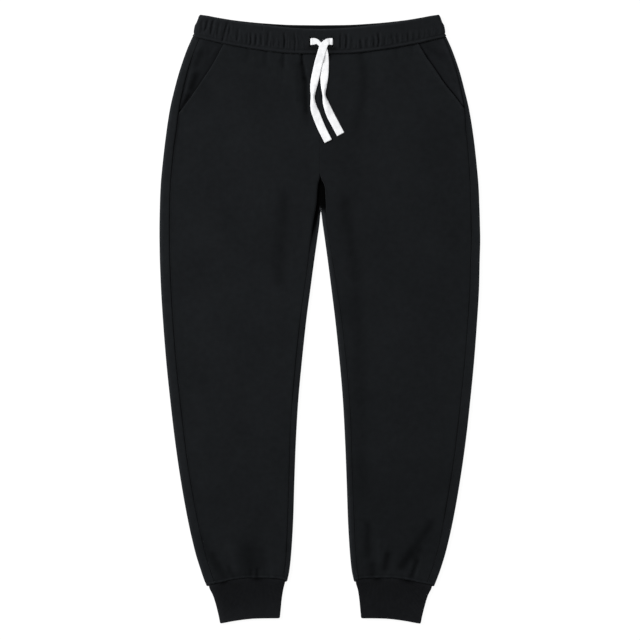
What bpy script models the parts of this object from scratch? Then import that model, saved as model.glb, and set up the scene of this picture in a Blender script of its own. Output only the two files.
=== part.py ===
"""Fleece joggers laid flat on a table, front side up.

Frame: metres, +Z up, the table is z = 0. The waist is toward +Y, the wearer's left
leg is toward +X, and the origin is on the table under the middle of the garment.
Every table below is in millimetres, and MM turns a point into metres.

The body is two flattened cloth tubes. A back panel covers the underside of one leg
and hip and wraps round both folds on to the top, as far as the outseam and the
inseam. A front panel fills the top between those two seams. The slant pocket's
mouth is cut from the front panel, and a facing shows inside it. The waistband and
the cuffs are flattened rings with a thicker wall. Two free ends of a flat
drawstring come out of buttonholes and lie on the front.

Each leg is worked out in its own plan: x is the distance from the centre line, and
y runs along the garment. A side's sign then puts it left or right.
"""
import math
from collections import namedtuple

import bpy
import bmesh
from mathutils import Vector

MM = 0.001

# ---------------------------------------------------------------- driving sizes
CLOTH = 1.8              # body cloth, brushed fleece
GAP = 0.3                # between two pieces at a seam
HALF_GAP = GAP / 2
FOLD_RADIUS = 3.7        # outer radius of the folds down the sides of a leg
LAY_HEIGHT = 6.0         # top of the front panel over the table, away from the folds
FOLD_REACH = 9.0         # how far the extra height at a fold reaches inward
SEAM_PUFF = 0.7          # how much the cloth swells just below the waistband
BAND_RADIUS = 5.3        # waistband fold, so the band is twice this high
BAND_WALL = 4.5          # doubled cloth with elastic between
BAND_PEEK = 3.0          # the back waistband stands this far above the front one
GATHER_COUNT = 36        # gathers across the front of the waistband
GATHER_DEPTH = 0.8
CUFF_RADIUS = 3.15
CUFF_WALL = 2.6          # doubled rib knit
POCKET_UNDERLAP = 22.0   # facing hidden under the front panel
POCKET_HEM = 9.0         # hemmed edge of the pocket mouth
POCKET_LIFT = 0.8        # how far the hemmed edge stands up
POCKET_SINK = CLOTH + GAP
CROTCH_SINK = 2.2        # how far the backs sink between the two inseams
TAPE_WIDTH = 13.5        # drawstring, a flat tape
TAPE_THICK = 1.4
SLOT_WIDTH = 3.0         # buttonhole, across
SLOT_LENGTH = 18.0       # buttonhole, along the garment
SLOT_MIDDLE = 469.5      # buttonhole's middle, along the garment

# ---------------------------------------------------------------- tables, mm
# The silhouette of one leg and hip: its outer and inner fold. Above the crotch the
# inner fold runs past the centre line, and the centre back seam cuts it off there.
Silhouette = namedtuple("Silhouette", "y outer inner")
SILHOUETTE = (
    Silhouette(480, 215.6, -16.0),
    Silhouette(457, 225.4, -16.0),
    Silhouette(423, 237.1, -16.0),
    Silhouette(389, 246.9, -16.0),
    Silhouette(355, 254.4, -16.0),
    Silhouette(304, 262.0, -16.0),
    Silhouette(240, 269.2, -12.0),
    Silhouette(200, 271.2, -2.9),
    Silhouette(168, 272.0, 2.7),
    Silhouette(134, 272.2, 7.2),
    Silhouette(100, 271.6, 12.0),
    Silhouette(50, 269.9, 18.5),
    Silhouette(0, 266.8, 24.9),
    Silhouette(-70, 261.4, 32.3),
    Silhouette(-138, 254.6, 38.4),
    Silhouette(-206, 246.8, 42.2),
    Silhouette(-274, 237.1, 44.9),
    Silhouette(-342, 225.0, 47.2),
    Silhouette(-395, 212.9, 50.3),
    Silhouette(-427, 203.2, 53.4),
    Silhouette(-444, 196.8, 55.3),
    Silhouette(-452, 192.2, 57.8),
)

# Where the seams lie on the top side. An outseam is given by its distance from the
# outer fold, and an inseam by its distance from the centre line.
Seams = namedtuple("Seams", "y outseam_right outseam_left inseam_right inseam_left")
SEAMS = (
    Seams(480, 13.6, 7.6, -2.0, -2.0),
    Seams(430, 14.5, 7.2, -2.0, -2.0),
    Seams(388, 15.5, 7.2, -2.0, -2.0),
    Seams(345, 16.0, 7.6, -2.0, -2.0),
    Seams(290, 16.5, 9.5, -2.0, -2.0),
    Seams(240, 16.5, 11.0, 0.0, 0.0),
    Seams(226, 16.5, 11.4, 2.8, 5.4),
    Seams(212, 16.5, 11.8, 4.4, 9.4),
    Seams(195, 16.5, 12.2, 5.6, 9.2),
    Seams(175, 16.5, 12.2, 9.8, 8.4),
    Seams(155, 16.4, 12.1, 14.4, 10.0),
    Seams(134, 16.3, 12.2, 17.6, 12.8),
    Seams(109, 16.2, 12.8, 21.8, 16.8),
    Seams(60, 16.2, 14.4, 27.0, 24.2),
    Seams(0, 15.9, 14.0, 36.2, 35.6),
    Seams(-65, 15.8, 13.6, 43.6, 43.6),
    Seams(-140, 15.6, 13.2, 47.0, 49.0),
    Seams(-210, 15.4, 12.6, 51.6, 54.6),
    Seams(-280, 15.2, 14.4, 56.2, 57.8),
    Seams(-345, 14.8, 13.4, 58.2, 58.0),
    Seams(-400, 14.2, 13.2, 60.4, 59.6),
    Seams(-452, 13.4, 12.8, 66.0, 66.0),
)

# The waistband's two edges across the front: its seam to the panels, and its top.
Band = namedtuple("Band", "x seam top")
BAND = (
    Band(0, 450.2, 496.6),
    Band(50, 450.9, 497.4),
    Band(80, 453.9, 499.3),
    Band(112, 458.2, 502.2),
    Band(147, 464.3, 506.8),
    Band(170, 468.9, 511.0),
    Band(190, 473.4, 514.9),
    Band(216, 479.0, 518.2),
)
# Half the waistband's width, by the share of the way from its seam to its top.
BAND_HALF = ((0.0, 213.9), (0.15, 213.2), (0.5, 211.0), (0.8, 206.9), (1.0, 204.4))

# The cuff's two edges, its seam on the top side and on the underside, and its two folds
# by the share of the way down.
CuffEdge = namedtuple("CuffEdge", "x seam under_seam hem")
CUFF_EDGE = (
    CuffEdge(55, -444.8, -444.8, -506.8),
    CuffEdge(70, -441.6, -445.6, -508.2),
    CuffEdge(90, -440.4, -446.4, -508.4),
    CuffEdge(113, -440.2, -447.4, -509.0),
    CuffEdge(130, -440.8, -448.2, -510.7),
    CuffEdge(149, -443.4, -449.0, -513.5),
    CuffEdge(168, -447.8, -450.2, -517.0),
    CuffEdge(194, -452.4, -452.4, -520.0),
)
CuffFold = namedtuple("CuffFold", "share inner outer")
CUFF_FOLD = (
    CuffFold(0.0, 60.0, 189.6),
    CuffFold(0.25, 63.5, 183.2),
    CuffFold(0.5, 65.8, 178.0),
    CuffFold(0.8, 67.8, 173.0),
    CuffFold(1.0, 68.9, 170.2),
)

# Soft troughs in the front panels, each along a line; a negative depth is a ridge.
Fold = namedtuple("Fold", "x0 y0 x1 y1 width depth")
FOLDS_RIGHT = (
    Fold(29.5, 450, 24.0, 356, 8.0, 1.5),
    Fold(61.0, 452, 63.0, 418, 8.0, 0.9),
    Fold(91.0, 456, 93.0, 425, 8.0, 0.8),
    Fold(60.0, 205, 64.0, 40, 14.0, 0.7),
    Fold(178.0, -345, 152.0, -438, 11.0, 1.5),
    Fold(120.0, -372, 118.0, -438, 13.0, 1.5),
    Fold(146.0, -350, 137.0, -432, 9.0, -0.7),
)
FOLDS_LEFT = (
    Fold(67.0, 452, 77.0, 415, 9.0, 0.9),
    Fold(77.0, 415, 72.0, 345, 12.0, 1.1),
    Fold(54.0, 190, 57.0, 60, 13.0, 1.0),
    Fold(66.0, 40, 70.0, -290, 15.0, 0.9),
    Fold(84.0, -330, 86.0, -425, 12.0, 1.4),
    Fold(192.0, -300, 140.0, -408, 13.0, 1.5),
    Fold(118.0, -355, 120.0, -430, 10.0, -0.7),
)

# A side of the garment, named for the wearer. The pocket's mouth is a straight line
# between two points.
Side = namedtuple("Side", "name sign outseam inseam mouth_top mouth_low folds slot_x")

# The drawstring's two free ends, from the buttonhole to the cut end. rise lifts the
# tape over the cloth below it, and spread is its width where its edges curl up.
TapePoint = namedtuple("TapePoint", "x y rise spread")
OVER = TAPE_THICK + 1.5 * GAP
TAPE_LEFT = (
    TapePoint(23.2, 471.6, -4.6, 0.9),
    TapePoint(23.1, 471.6, -1.6, 0.9),
    TapePoint(22.0, 471.7, 0.0, 0.9),
    TapePoint(17.0, 472.0, 0.0, 0.9),
    TapePoint(10.5, 470.6, OVER, 0.95),
    TapePoint(6.4, 465.6, OVER, 1.0),
    TapePoint(4.6, 457.0, OVER, 1.0),
    TapePoint(1.8, 447.0, OVER, 1.0),
    TapePoint(-1.8, 435.0, OVER, 1.0),
    TapePoint(-5.4, 421.0, OVER, 1.0),
    TapePoint(-8.4, 408.0, OVER, 0.95),
    TapePoint(-11.0, 394.0, 0.4, 0.8),
    TapePoint(-12.0, 378.0, 0.0, 0.62),
    TapePoint(-10.4, 363.0, 0.0, 0.8),
    TapePoint(-6.0, 349.0, 0.0, 1.0),
    TapePoint(3.4, 325.5, 0.0, 1.0),
    TapePoint(14.6, 302.4, 0.0, 1.0),
)
TAPE_RIGHT = (
    TapePoint(15.4, 471.6, -4.6, 0.9),
    TapePoint(15.3, 471.6, -1.6, 0.9),
    TapePoint(14.2, 471.7, 0.0, 0.9),
    TapePoint(8.5, 471.9, 0.0, 0.9),
    TapePoint(1.0, 470.6, 0.0, 0.95),
    TapePoint(-4.4, 465.4, 0.0, 1.0),
    TapePoint(-7.2, 456.0, 0.0, 1.0),
    TapePoint(-8.8, 446.0, 0.0, 1.0),
    TapePoint(-9.3, 434.0, 0.0, 1.0),
    TapePoint(-8.9, 420.0, 0.0, 1.0),
    TapePoint(-8.2, 408.0, 0.0, 0.95),
    TapePoint(-7.4, 394.0, 0.0, 0.75),
    TapePoint(-7.6, 380.0, 0.0, 0.6),
    TapePoint(-10.6, 366.0, 0.0, 0.85),
    TapePoint(-18.0, 347.0, 0.0, 1.0),
    TapePoint(-27.2, 330.0, 0.0, 1.0),
    TapePoint(-35.8, 314.4, 0.0, 1.0),
)

# Plain colours of the pieces, linear, with their roughness.
BODY_BLACK = (0.0110, 0.0122, 0.0133)
RIB_BLACK = (0.0085, 0.0090, 0.0100)
TAPE_WHITE = (0.86, 0.86, 0.85)


# ---------------------------------------------------------------- small maths
def smoothstep(share):
    """0 to 1 with level ends."""
    share = min(max(share, 0.0), 1.0)
    return share * share * (3.0 - 2.0 * share)


def curve(points):
    """A smooth function through (place, value) pairs, with slopes from the neighbours."""
    points = sorted(points)
    slopes = []
    for index in range(len(points)):
        before = points[max(index - 1, 0)]
        after = points[min(index + 1, len(points) - 1)]
        slopes.append((after[1] - before[1]) / (after[0] - before[0]))

    def value_at(place):
        if place <= points[0][0]:
            return points[0][1]
        if place >= points[-1][0]:
            return points[-1][1]
        index = 0
        while points[index + 1][0] < place:
            index += 1
        (start, low), (stop, high) = points[index], points[index + 1]
        span = stop - start
        t = (place - start) / span
        return ((2 * t**3 - 3 * t**2 + 1) * low + (t**3 - 2 * t**2 + t) * span * slopes[index]
                + (3 * t**2 - 2 * t**3) * high + (t**3 - t**2) * span * slopes[index + 1])

    return value_at


outer_fold = curve([(row.y, row.outer) for row in SILHOUETTE])
inner_fold = curve([(row.y, row.inner) for row in SILHOUETTE])
band_seam = curve([(row.x, row.seam) for row in BAND])
band_top = curve([(row.x, row.top) for row in BAND])
band_half = curve(BAND_HALF)
cuff_seam = curve([(row.x, row.seam) for row in CUFF_EDGE])
cuff_under_seam = curve([(row.x, row.under_seam) for row in CUFF_EDGE])
cuff_hem = curve([(row.x, row.hem) for row in CUFF_EDGE])
cuff_inner = curve([(row.share, row.inner) for row in CUFF_FOLD])
cuff_outer = curve([(row.share, row.outer) for row in CUFF_FOLD])

RIGHT = Side("right", -1, curve([(row.y, row.outseam_right) for row in SEAMS]),
             curve([(row.y, row.inseam_right) for row in SEAMS]),
             (165.2, 464.1), (239.2, 349.5), FOLDS_RIGHT, 15.4)
LEFT = Side("left", 1, curve([(row.y, row.outseam_left) for row in SEAMS]),
            curve([(row.y, row.inseam_left) for row in SEAMS]),
            (170.5, 465.0), (247.4, 356.0), FOLDS_LEFT, 23.2)


def back_rise(x):
    """How far the back waistband stands above the front one."""
    return BAND_PEEK * max(0.0, 1.0 - (x / band_half(0.0)) ** 2)


# ---------------------------------------------------------------- height of the cloth
def fold_depth(folds, x, y):
    """Sum of the soft troughs at a point of the plan."""
    total = 0.0
    for fold in folds:
        run_x = fold.x1 - fold.x0
        run_y = fold.y1 - fold.y0
        t = ((x - fold.x0) * run_x + (y - fold.y0) * run_y) / (run_x**2 + run_y**2)
        t = min(max(t, 0.0), 1.0)
        away = math.hypot(x - fold.x0 - t * run_x, y - fold.y0 - t * run_y)
        total += fold.depth * math.exp(-((away / fold.width) ** 2))
    return total


def mouth_x(side, y):
    """The pocket mouth's line, as a distance from the centre line."""
    (top_x, top_y), (low_x, low_y) = side.mouth_top, side.mouth_low
    return top_x + (y - top_y) * (low_x - top_x) / (low_y - top_y)


def top_height(side, x, y):
    """Height of the outer surface on the top side of a leg or hip."""
    from_fold = min(outer_fold(y) - x, x - inner_fold(y))
    if from_fold < FOLD_RADIUS:
        drop = FOLD_RADIUS - max(from_fold, 0.0)
        return FOLD_RADIUS + math.sqrt(FOLD_RADIUS**2 - drop**2)
    lift = 0.0
    for distance in (outer_fold(y) - x, x - inner_fold(y)):
        lift += math.exp(-(((distance - FOLD_RADIUS) / FOLD_REACH) ** 2))
    height = LAY_HEIGHT + (2 * FOLD_RADIUS - LAY_HEIGHT) * lift
    below_band = band_seam(x) - y
    height += SEAM_PUFF * math.exp(-(((below_band - 14.0) / 12.0) ** 2))
    fade = smoothstep((from_fold - FOLD_RADIUS) / 12.0)
    return height - fade * fold_depth(side.folds, x, y)


# ---------------------------------------------------------------- rows down a leg
# A row is a line across the leg. The top rows follow the waistband's seam, the last
# rows follow the cuff's seam, and the others are level.
Row = namedtuple("Row", "zone value")
WAIST_SHARES = (1.0, 0.88, 0.7, 0.5, 0.3, 0.14)
LEVELS = (310, 268, 240, 222, 205, 186, 168, 135, 90, 30, -40, -110, -180, -240, -295,
          -345)
CUFF_LEVEL = -385.0
CUFF_SHARES = (0.0, 0.4, 0.75, 1.0)


def leg_rows(side):
    rows = [Row("waist", share) for share in WAIST_SHARES]
    rows.append(Row("level", side.mouth_low[1]))
    rows += [Row("level", level) for level in LEVELS]
    rows += [Row("cuff", share) for share in CUFF_SHARES]
    return rows


def cuff_line(x, under):
    """The cuff's seam at a place round the leg; under is 0 on top and 1 underneath."""
    return (1.0 - under) * cuff_seam(x) + under * cuff_under_seam(x)


def row_y(side, row, x, under=0.0):
    """The row's y at a distance x from the centre line."""
    if row.zone == "level":
        return row.value
    if row.zone == "waist":
        seam = band_seam(x) - HALF_GAP + under * back_rise(x)
        return side.mouth_low[1] + row.value * (seam - side.mouth_low[1])
    return CUFF_LEVEL + row.value * (cuff_line(x, under) + HALF_GAP - CUFF_LEVEL)


def meet(side, row, edge, under=0.0):
    """Where a row meets an edge that is given as x by y."""
    x = edge(row_y(side, row, 150.0, under))
    for _ in range(5):
        x = edge(row_y(side, row, x, under))
    return x, row_y(side, row, x, under)


# ---------------------------------------------------------------- mesh helpers
def clear_scene():
    for old in list(bpy.data.objects):
        bpy.data.objects.remove(old, do_unlink=True)
    for old in list(bpy.data.collections):
        bpy.data.collections.remove(old)


def plain_material(name, colour, roughness):
    material = bpy.data.materials.new(name)
    material.use_nodes = True
    shader = material.node_tree.nodes["Principled BSDF"]
    shader.inputs["Base Color"].default_value = (*colour, 1.0)
    shader.inputs["Roughness"].default_value = roughness
    shader.inputs["Metallic"].default_value = 0.0
    material.diffuse_color = (*colour, 1.0)
    return material


def loft(name, sections, collection, material, ring=False, tube=False, capped=False):
    """A surface through sections of equal length.

    ring joins the last section to the first, tube closes each section on itself,
    and capped fills the two end sections.
    """
    mesh = bpy.data.meshes.new(name)
    build = bmesh.new()
    grid = [[build.verts.new(Vector(point) * MM) for point in section]
            for section in sections]
    count = len(grid[0])
    for index in range(len(grid) if ring else len(grid) - 1):
        here, there = grid[index], grid[(index + 1) % len(grid)]
        for step in range(count if tube else count - 1):
            after = (step + 1) % count
            build.faces.new((here[step], here[after], there[after], there[step]))
    if capped:
        build.faces.new(list(reversed(grid[0])))
        build.faces.new(grid[-1])
    bmesh.ops.remove_doubles(build, verts=build.verts, dist=0.00001)
    if tube:
        bmesh.ops.recalc_face_normals(build, faces=build.faces)
    build.to_mesh(mesh)
    build.free()
    mesh.materials.append(material)
    part = bpy.data.objects.new(name, mesh)
    collection.objects.link(part)
    return part


def cloth_wall(part, thickness):
    """Gives an open outer surface its thickness, on its inner side."""
    wall = part.modifiers.new("wall", "SOLIDIFY")
    wall.thickness = thickness * MM
    wall.offset = -1.0
    wall.use_rim = True


def cutter_box(name, low, high, collection):
    """A closed box that a Boolean takes away."""
    mesh = bpy.data.meshes.new(name)
    build = bmesh.new()
    bmesh.ops.create_cube(build, size=1.0)
    middle = (Vector(low) + Vector(high)) / 2
    extent = Vector(high) - Vector(low)
    for vert in build.verts:
        vert.co = (middle + Vector(a * b for a, b in zip(vert.co, extent))) * MM
    build.to_mesh(mesh)
    build.free()
    box = bpy.data.objects.new(name, mesh)
    box.hide_render = True
    box.display_type = "WIRE"
    collection.objects.link(box)
    return box


def cut_away(part, cutter):
    cut = part.modifiers.new(cutter.name, "BOOLEAN")
    cut.operation = "DIFFERENCE"
    cut.object = cutter


def facing_up(side, sections):
    """Puts a side's own plan into the garment's frame with its outer face outward."""
    placed = [[(side.sign * x, y, z) for x, y, z in section] for section in sections]
    if side.sign > 0:
        placed = [list(reversed(section)) for section in placed]
    return placed


# ---------------------------------------------------------------- front panels
FRONT_SHARES = (0.0, 0.05, 0.13, 0.23, 0.34, 0.45, 0.57, 0.69, 0.81, 0.92, 1.0)


def front_inner(side, y):
    """Front seam above the crotch, inseam below it."""
    return max(side.inseam(y), 0.0) + HALF_GAP


def front_outer(side, y):
    """Pocket mouth above its lower end, outseam below it."""
    outseam = outer_fold(y) - side.outseam(y) - HALF_GAP
    if y < side.mouth_low[1]:
        return outseam
    return min(mouth_x(side, y), outseam)


def front_height(side, x, y):
    """The front panel's top, with the hemmed pocket edge standing up a little."""
    lift = 0.0
    if y > side.mouth_low[1]:
        lift = POCKET_LIFT * smoothstep(1.0 - (mouth_x(side, y) - x) / POCKET_HEM)
    return top_height(side, x, y) + lift


def front_panel(side, collection, material):
    sections = []
    for row in leg_rows(side):
        start, _ = meet(side, row, lambda y: front_inner(side, y))
        stop, _ = meet(side, row, lambda y: front_outer(side, y))
        section = []
        for share in FRONT_SHARES:
            x = start + share * (stop - start)
            y = row_y(side, row, x)
            section.append((x, y, front_height(side, x, y)))
        sections.append(section)
    name = "front_" + side.name
    part = loft(name, facing_up(side, sections), collection, material)
    cloth_wall(part, CLOTH)
    return part


# ---------------------------------------------------------------- back panels
FOLD_ANGLES = (90, 45, 0, -45, -90)      # round the fold, from the top to the underside
UNDER_SPANS = 7                          # columns across the flat underside


def crotch_sink(x, y):
    """How far a back panel sinks between the inseams, just below the crotch."""
    return CROTCH_SINK * smoothstep((y - 110.0) / 60.0) * smoothstep((40.0 - x) / 20.0)


def fold_arc(side, row, edge, inward, angles):
    """Points round a side fold; inward is -1 at the outer fold and +1 at the inner."""
    points = []
    for degrees in angles:
        angle = math.radians(degrees)
        x, y = meet(side, row, edge, under=(1.0 - math.sin(angle)) / 2)
        x += inward * FOLD_RADIUS * (1.0 - math.cos(angle))
        y = row_y(side, row, x, (1.0 - math.sin(angle)) / 2)
        height = FOLD_RADIUS * (1.0 + math.sin(angle))
        share = height / (2 * FOLD_RADIUS)
        points.append((x, y, height - crotch_sink(x, y) * share**2))
    return points


def back_panel(side, collection, material, cutters):
    sections = []
    for row in leg_rows(side):
        section = []
        outseam, _ = meet(side, row, lambda y: outer_fold(y) - side.outseam(y) + HALF_GAP)
        crown = meet(side, row, outer_fold)[0] - FOLD_RADIUS
        for share in (0.0, 0.5):
            x = outseam + share * (crown - outseam)
            y = row_y(side, row, x)
            section.append((x, y, top_height(side, x, y)))
        section += fold_arc(side, row, outer_fold, -1, FOLD_ANGLES)
        outer_x = meet(side, row, outer_fold, under=1.0)[0] - FOLD_RADIUS
        inner_x = meet(side, row, inner_fold, under=1.0)[0] + FOLD_RADIUS
        for step in range(1, UNDER_SPANS):
            x = outer_x + step / UNDER_SPANS * (inner_x - outer_x)
            section.append((x, row_y(side, row, x, under=1.0), 0.0))
        section += fold_arc(side, row, inner_fold, 1, reversed(FOLD_ANGLES))
        inseam, _ = meet(side, row, lambda y: side.inseam(y) - HALF_GAP)
        crown = meet(side, row, inner_fold)[0] + FOLD_RADIUS
        for share in (0.5, 1.0):
            x = crown + share * (inseam - crown)
            y = row_y(side, row, x)
            section.append((x, y, top_height(side, x, y) - crotch_sink(x, y)))
        sections.append(section)
    name = "back_" + side.name
    part = loft(name, facing_up(side, sections), collection, material)
    cloth_wall(part, CLOTH)
    edges = sorted((side.sign * HALF_GAP, side.sign * -60.0))
    box = cutter_box("centre_back_cut_" + side.name, (edges[0], 120, -20),
                     (edges[1], 540, 40), cutters)
    cut_away(part, box)
    return part


# ---------------------------------------------------------------- pocket facings
FACING_SHARES = WAIST_SHARES + (0.05,)                    # from the waist seam down
FACING_ACROSS = (0.0, 0.25, 0.55, 0.85, 1.0)              # from the mouth to the outseam
FACING_LEVEL = 0.85      # share of the way across where the facing is level again
SINK_START = 4.0         # open width where the facing starts to sink
SINK_SPAN = 14.0         # it is fully sunk this much further up


def pocket_facing(side, collection, material):
    sections = []
    for share in FACING_SHARES:
        row = Row("waist", share)
        mouth, mouth_y = meet(side, row, lambda y: mouth_x(side, y))
        outseam, seam_y = meet(side, row,
                               lambda y: outer_fold(y) - side.outseam(y) - GAP)
        seam_height = top_height(side, outseam, seam_y)
        open_width = outseam - mouth
        sunk = POCKET_SINK * smoothstep((open_width - SINK_START) / SINK_SPAN)
        hidden = open_width - SINK_START - SINK_SPAN
        underlap = POCKET_UNDERLAP * smoothstep(hidden / 12.0)
        mouth += 2 * GAP * (1.0 - smoothstep(hidden / 2.0))
        section = []
        for x in (mouth - underlap, mouth - underlap / 2):
            y = row_y(side, row, x)
            section.append((x, y, LAY_HEIGHT - sunk))
        for across in FACING_ACROSS:
            x = mouth + across * (outseam - mouth)
            y = row_y(side, row, x)
            level = smoothstep(across / FACING_LEVEL)
            section.append((x, y, level * seam_height + (1.0 - level) * (LAY_HEIGHT - sunk)))
        sections.append(section)
    name = "pocket_facing_" + side.name
    part = loft(name, facing_up(side, sections), collection, material)
    cloth_wall(part, CLOTH)
    return part


# ---------------------------------------------------------------- waistband and cuffs
# Stations go once round a flattened ring: across the top, round one fold, back along
# the underside and round the other fold. slide is the place across the flat, from -1
# to 1, and angle is the place round a fold, 90 being the top.
Station = namedtuple("Station", "slide angle")
TURN_ANGLES = (60, 30, 0, -30, -60)


def ring_stations(top_count, under_count):
    stations = [Station(-1 + 2 * i / top_count, 90) for i in range(top_count + 1)]
    stations += [Station(1, angle) for angle in TURN_ANGLES]
    stations += [Station(1 - 2 * i / under_count, -90) for i in range(under_count + 1)]
    stations += [Station(-1, angle) for angle in reversed(TURN_ANGLES)]
    return stations


def ring_point(station, inner, outer, radius, inset):
    """x, z and the share of the underside at a station, inset from the outer face."""
    middle = (inner + outer) / 2
    reach = (outer - inner) / 2 - radius
    angle = math.radians(station.angle)
    x = middle + station.slide * (reach + (radius - inset) * math.cos(angle))
    return x, radius + (radius - inset) * math.sin(angle), (1.0 - math.sin(angle)) / 2


def rests(station, inset):
    """Whether a point near the outer face lies on the table, where the face is flat."""
    return station.angle == -90 and inset < 1.0


# The waistband's wall in section: inset from its outer face, and the distance from its
# seam. gather says how much of a gather's depth reaches that point.
WallPoint = namedtuple("WallPoint", "inset rise gather")
BAND_HEIGHT = 46.0
BAND_SECTION = (
    WallPoint(0.9, 0.0, 0.0),
    WallPoint(0.1, 2.6, 0.0),
    WallPoint(0.5, 5.6, 0.4),
    WallPoint(0.0, 11.0, 1.0),
    WallPoint(0.0, 37.0, 1.0),
    WallPoint(0.5, 43.4, 0.5),
    WallPoint(BAND_WALL / 2, BAND_HEIGHT, 0.0),
    WallPoint(BAND_WALL, 43.0, 0.0),
    WallPoint(BAND_WALL, 0.0, 0.0),
)


def gather_at(index):
    """Depth of the gather at a station across the front, uneven from one to the next."""
    if index % 2 == 0:
        return 0.0
    return GATHER_DEPTH * (0.75 + 0.25 * math.sin(index * 1.7))


def waistband(collection, material, cutters):
    sections = []
    for index, station in enumerate(ring_stations(2 * GATHER_COUNT, 12)):
        depth = gather_at(index) if station.angle == 90 and abs(station.slide) < 0.99 else 0.0
        section = []
        for wall in BAND_SECTION:
            share = wall.rise / BAND_HEIGHT
            half = band_half(share)
            inset = wall.inset + wall.gather * depth
            if rests(station, inset):
                inset = 0.0
            x, z, under = ring_point(station, -half, half, BAND_RADIUS, inset)
            seam = band_seam(abs(x)) + HALF_GAP
            y = seam + share * (band_top(abs(x)) - seam) + under * back_rise(x)
            section.append((x, y, z))
        sections.append(section)
    part = loft("waistband", sections, collection, material, ring=True, tube=True)
    for side in (LEFT, RIGHT):
        middle = side.sign * side.slot_x
        floor = 2 * BAND_RADIUS - BAND_WALL - GAP
        box = cutter_box("buttonhole_cut_" + side.name,
                         (middle - SLOT_WIDTH / 2, SLOT_MIDDLE - SLOT_LENGTH / 2, floor),
                         (middle + SLOT_WIDTH / 2, SLOT_MIDDLE + SLOT_LENGTH / 2, 16.0),
                         cutters)
        cut_away(part, box)
    return part


# The cuff's wall in section: inset, and the share of the way down from its seam.
CuffPoint = namedtuple("CuffPoint", "inset share")
CUFF_SECTION = (
    CuffPoint(0.5, 0.0),
    CuffPoint(0.0, 0.06),
    CuffPoint(0.0, 0.5),
    CuffPoint(0.1, 0.96),
    CuffPoint(CUFF_WALL / 2, 1.0),
    CuffPoint(CUFF_WALL, 0.96),
    CuffPoint(CUFF_WALL, 0.0),
)


def cuff(side, collection, material):
    sections = []
    for station in ring_stations(10, 6):
        section = []
        for wall in CUFF_SECTION:
            inset = 0.0 if rests(station, wall.inset) else wall.inset
            x, z, under = ring_point(station, cuff_inner(wall.share), cuff_outer(wall.share),
                                     CUFF_RADIUS, inset)
            seam = cuff_line(x, under) - GAP
            y = seam + wall.share * (cuff_hem(x) - seam)
            section.append((side.sign * x, y, z))
        sections.append(section)
    return loft("cuff_" + side.name, sections, collection, material, ring=True, tube=True)


# ---------------------------------------------------------------- drawstring
def cloth_top(x, y):
    """Top of the waistband or of the front panel at a place on the garment."""
    side = LEFT if x > 0 else RIGHT
    if y > band_seam(abs(x)) - 1.0:
        return 2 * BAND_RADIUS
    return top_height(side, abs(x), y)


def smooth_route(points, steps):
    """Catmull-Rom route through the points, with steps stations to each stretch."""
    route = []
    last = len(points) - 1
    for index in range(last):
        near = [Vector(points[min(max(index + k, 0), last)]) for k in (-1, 0, 1, 2)]
        for step in range(steps):
            t = step / steps
            route.append(0.5 * (2 * near[1] + (near[2] - near[0]) * t
                                + (2 * near[0] - 5 * near[1] + 4 * near[2] - near[3]) * t**2
                                + (3 * near[1] - near[0] - 3 * near[2] + near[3]) * t**3))
    route.append(Vector(points[last]))
    return route


LEAD_STATIONS = 5        # stations that leave the buttonhole straight across
BRIDGE = 7.0             # the tape bridges hollows shorter than twice this
CURL_START = 8           # the first station where the tape's edges may curl


def tape(side, points, collection, material):
    """A flat tape that lies on the cloth, swept along its route."""
    route = smooth_route([(side.sign * p.x, p.y, p.rise, p.spread) for p in points], 2)
    middles = []
    acrosses = []
    for index, station in enumerate(route):
        before = route[max(index - 1, 0)]
        after = route[min(index + 1, len(route) - 1)]
        heading = Vector((after[0] - before[0], after[1] - before[1]))
        if index < LEAD_STATIONS:
            heading = Vector((-side.sign, 0.0))
        heading.normalize()
        across = Vector((-heading.y, heading.x, 0.0))
        spread = station[3] * TAPE_WIDTH
        under = max(cloth_top(station[0] + across.x * a * spread + heading.x * b,
                              station[1] + across.y * a * spread + heading.y * b)
                    for a in (-0.5, -0.25, 0.0, 0.25, 0.5)
                    for b in (-BRIDGE, -BRIDGE / 2, 0.0, BRIDGE / 2, BRIDGE))
        height = under + GAP + station[2] + TAPE_THICK / 2
        middles.append(Vector((station[0], station[1], height)))
        acrosses.append(across)
    sections = []
    for index, middle in enumerate(middles):
        before = middles[max(index - 1, 0)]
        after = middles[min(index + 1, len(middles) - 1)]
        along = (after - before).normalized()
        across = acrosses[index]
        out = across.cross(along).normalized() * (TAPE_THICK / 2)
        if out.z < 0:
            out = -out
        spread = min(route[index][3], 1.0)
        half = across * (TAPE_WIDTH / 2 * spread)
        curl = TAPE_WIDTH * math.sqrt(0.375 * (1.0 - spread))
        ridge = middle + Vector((0, 0, curl * smoothstep((index - CURL_START) / 4)))
        sections.append([middle - half - out, ridge - out, middle + half - out,
                         middle + half + out, ridge + out, middle - half + out])
    return loft("drawstring_" + side.name, sections, collection, material,
                tube=True, capped=True)


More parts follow.
